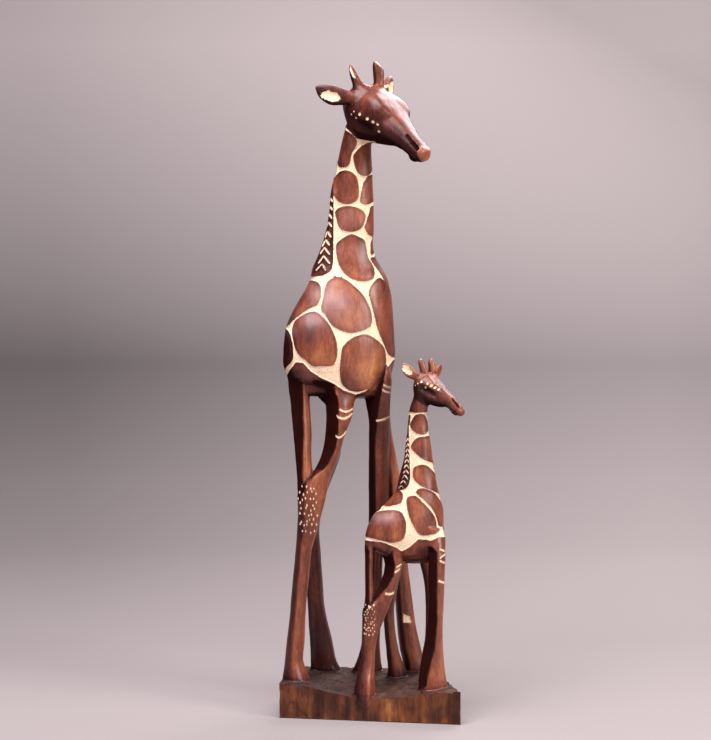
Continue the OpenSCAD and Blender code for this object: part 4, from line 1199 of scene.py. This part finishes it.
# ---------------------------------------------------------------- stage, light, camera
def stage_mesh(name, verts, faces, run, painted_shade_stops, color, rough=.9):
    me = bpy.data.meshes.new(name)
    me.from_pydata(verts, [], faces)
    me.update()
    me.polygons.foreach_set("use_smooth", np.ones(len(me.polygons), bool))
    m = bpy.data.materials.new(name)
    m.use_nodes = True
    b = m.node_tree.nodes["Principled BSDF"]
    b.inputs["Roughness"].default_value = rough
    b.inputs["Specular IOR Level"].default_value = .1
    at = me.attributes.new("run", "FLOAT", "POINT")
    at.data.foreach_set("value", [r / 3 for r in run])
    nt = m.node_tree
    av = nt.nodes.new("ShaderNodeAttribute")
    av.attribute_name = "run"
    tc = nt.nodes.new("ShaderNodeTexCoord")
    sp = nt.nodes.new("ShaderNodeSeparateXYZ")
    nt.links.new(tc.outputs["Object"], sp.inputs[0])
    half = nt.nodes.new("ShaderNodeMath")
    half.operation = "MULTIPLY_ADD"
    half.inputs[1].default_value, half.inputs[2].default_value = .42, .36
    nt.links.new(av.outputs["Fac"], half.inputs[0])
    ac = nt.nodes.new("ShaderNodeMath")
    ac.operation = "DIVIDE"
    nt.links.new(sp.outputs[0], ac.inputs[0])
    nt.links.new(half.outputs[0], ac.inputs[1])
    fx = nt.nodes.new("ShaderNodeMath")
    fx.operation = "MULTIPLY_ADD"
    fx.inputs[1].default_value, fx.inputs[2].default_value = .5, .5
    fx.use_clamp = True
    nt.links.new(ac.outputs[0], fx.inputs[0])
    mx = nt.nodes.new("ShaderNodeMix")
    mx.data_type = "RGBA"
    nt.links.new(fx.outputs[0], mx.inputs[0])
    # the backdrop's colour carries painted light and shade, mixed from its left end to its right
    for i, key in ((6, 1), (7, 2)):
        rp = nt.nodes.new("ShaderNodeValToRGB")
        nt.links.new(av.outputs["Fac"], rp.inputs[0])
        el = rp.color_ramp.elements
        while len(el) < len(painted_shade_stops):
            el.new(.5)
        for e, row in zip(el, painted_shade_stops):
            e.position = row[0]
            e.color = (*[min(.95, c * row[key]) for c in color], 1)
        nt.links.new(rp.outputs[0], mx.inputs[i])
    nt.links.new(mx.outputs[2], b.inputs["Base Color"])
    me.materials.append(m)
    ob = bpy.data.objects.new(name, me)
    bpy.context.scene.collection.objects.link(ob)
    return ob


vs, fs, run = [], [], []
prof = [(-6.0, 0.0), (1.2, 0.0)] + [(1.2 + 1.2 * math.sin(math.radians(a)), 1.2 - 1.2 * math.cos(math.radians(a))) for a in range(6, 91, 6)] + [(2.4, 6.0)]
for i, (py, pz) in enumerate(prof):
    vs += [(-6, py, pz - .0002), (6, py, pz - .0002)]
    run += [(run[-1] if i else -6) + (math.dist(prof[i], prof[i - 1]) if i else 0)] * 2
    if i:
        fs.append((2 * i - 2, 2 * i - 1, 2 * i + 1, 2 * i))
# painted light and shade on the backdrop: darker to the left and round the bend, lighter on the floor in front and up
# the wall
BACKDROP_PAINTED_SHADE = [(.0067, .58, .61), (.143, .49, .575), (.38, .43, .635), (.543, .35, .585), (.683, .222, .49), (.961, .90, 1.2)]  # run, left, right
stage_mesh("floor", vs, fs, run, BACKDROP_PAINTED_SHADE, (.52, .47, .475))


def area(name, at, to, size, power, color=(1, 1, 1)):
    from mathutils import Vector
    L = bpy.data.lights.new(name, "AREA")
    L.shape = "RECTANGLE"
    L.size, L.size_y = size
    L.energy = power
    L.color = color
    o = bpy.data.objects.new(name, L)
    o.location = at
    o.rotation_euler = (Vector(to) - Vector(at)).to_track_quat("-Z", "Y").to_euler()
    bpy.context.scene.collection.objects.link(o)


area("top_light", (-.3, -.5, 2.1), (-.02, 0, .45), (1.5, 1.2), 62, (1, .95, .96))
area("key_light", (2.0, -1.3, 1.25), (0, 0, .4), (.9, 1.3), 54, (1, .95, .93))
area("rim_light", (.8, 1.5, 1.9), (0, 0, .6), (1.6, 1.0), 46, (1, .92, .95))
area("sheen_light", (-1.2, -1.45, 1.65), (-.04, 0, .5), (.7, .7), 19, (1, .86, .95))
area("front_fill", (-.4, -2.8, 1.0), (0, 0, .35), (1.6, 1.6), 4, (1, .95, .95))
wd = bpy.data.worlds.new("studio")
wd.use_nodes = True
wd.node_tree.nodes["Background"].inputs[0].default_value = (.9, .84, .85, 1)
wd.node_tree.nodes["Background"].inputs[1].default_value = .08
bpy.context.scene.world = wd
bpy.context.scene.view_settings.view_transform = "Standard"

cam = bpy.data.cameras.new("camera")
cam.lens = 103.1
cam.sensor_width = 36
cam.sensor_fit = "AUTO"
co = bpy.data.objects.new("camera", cam)
co.location = (-.0193, -2.585, .620)
co.rotation_euler = (math.radians(85.67), 0, 0)
bpy.context.scene.collection.objects.link(co)
bpy.context.scene.camera = co
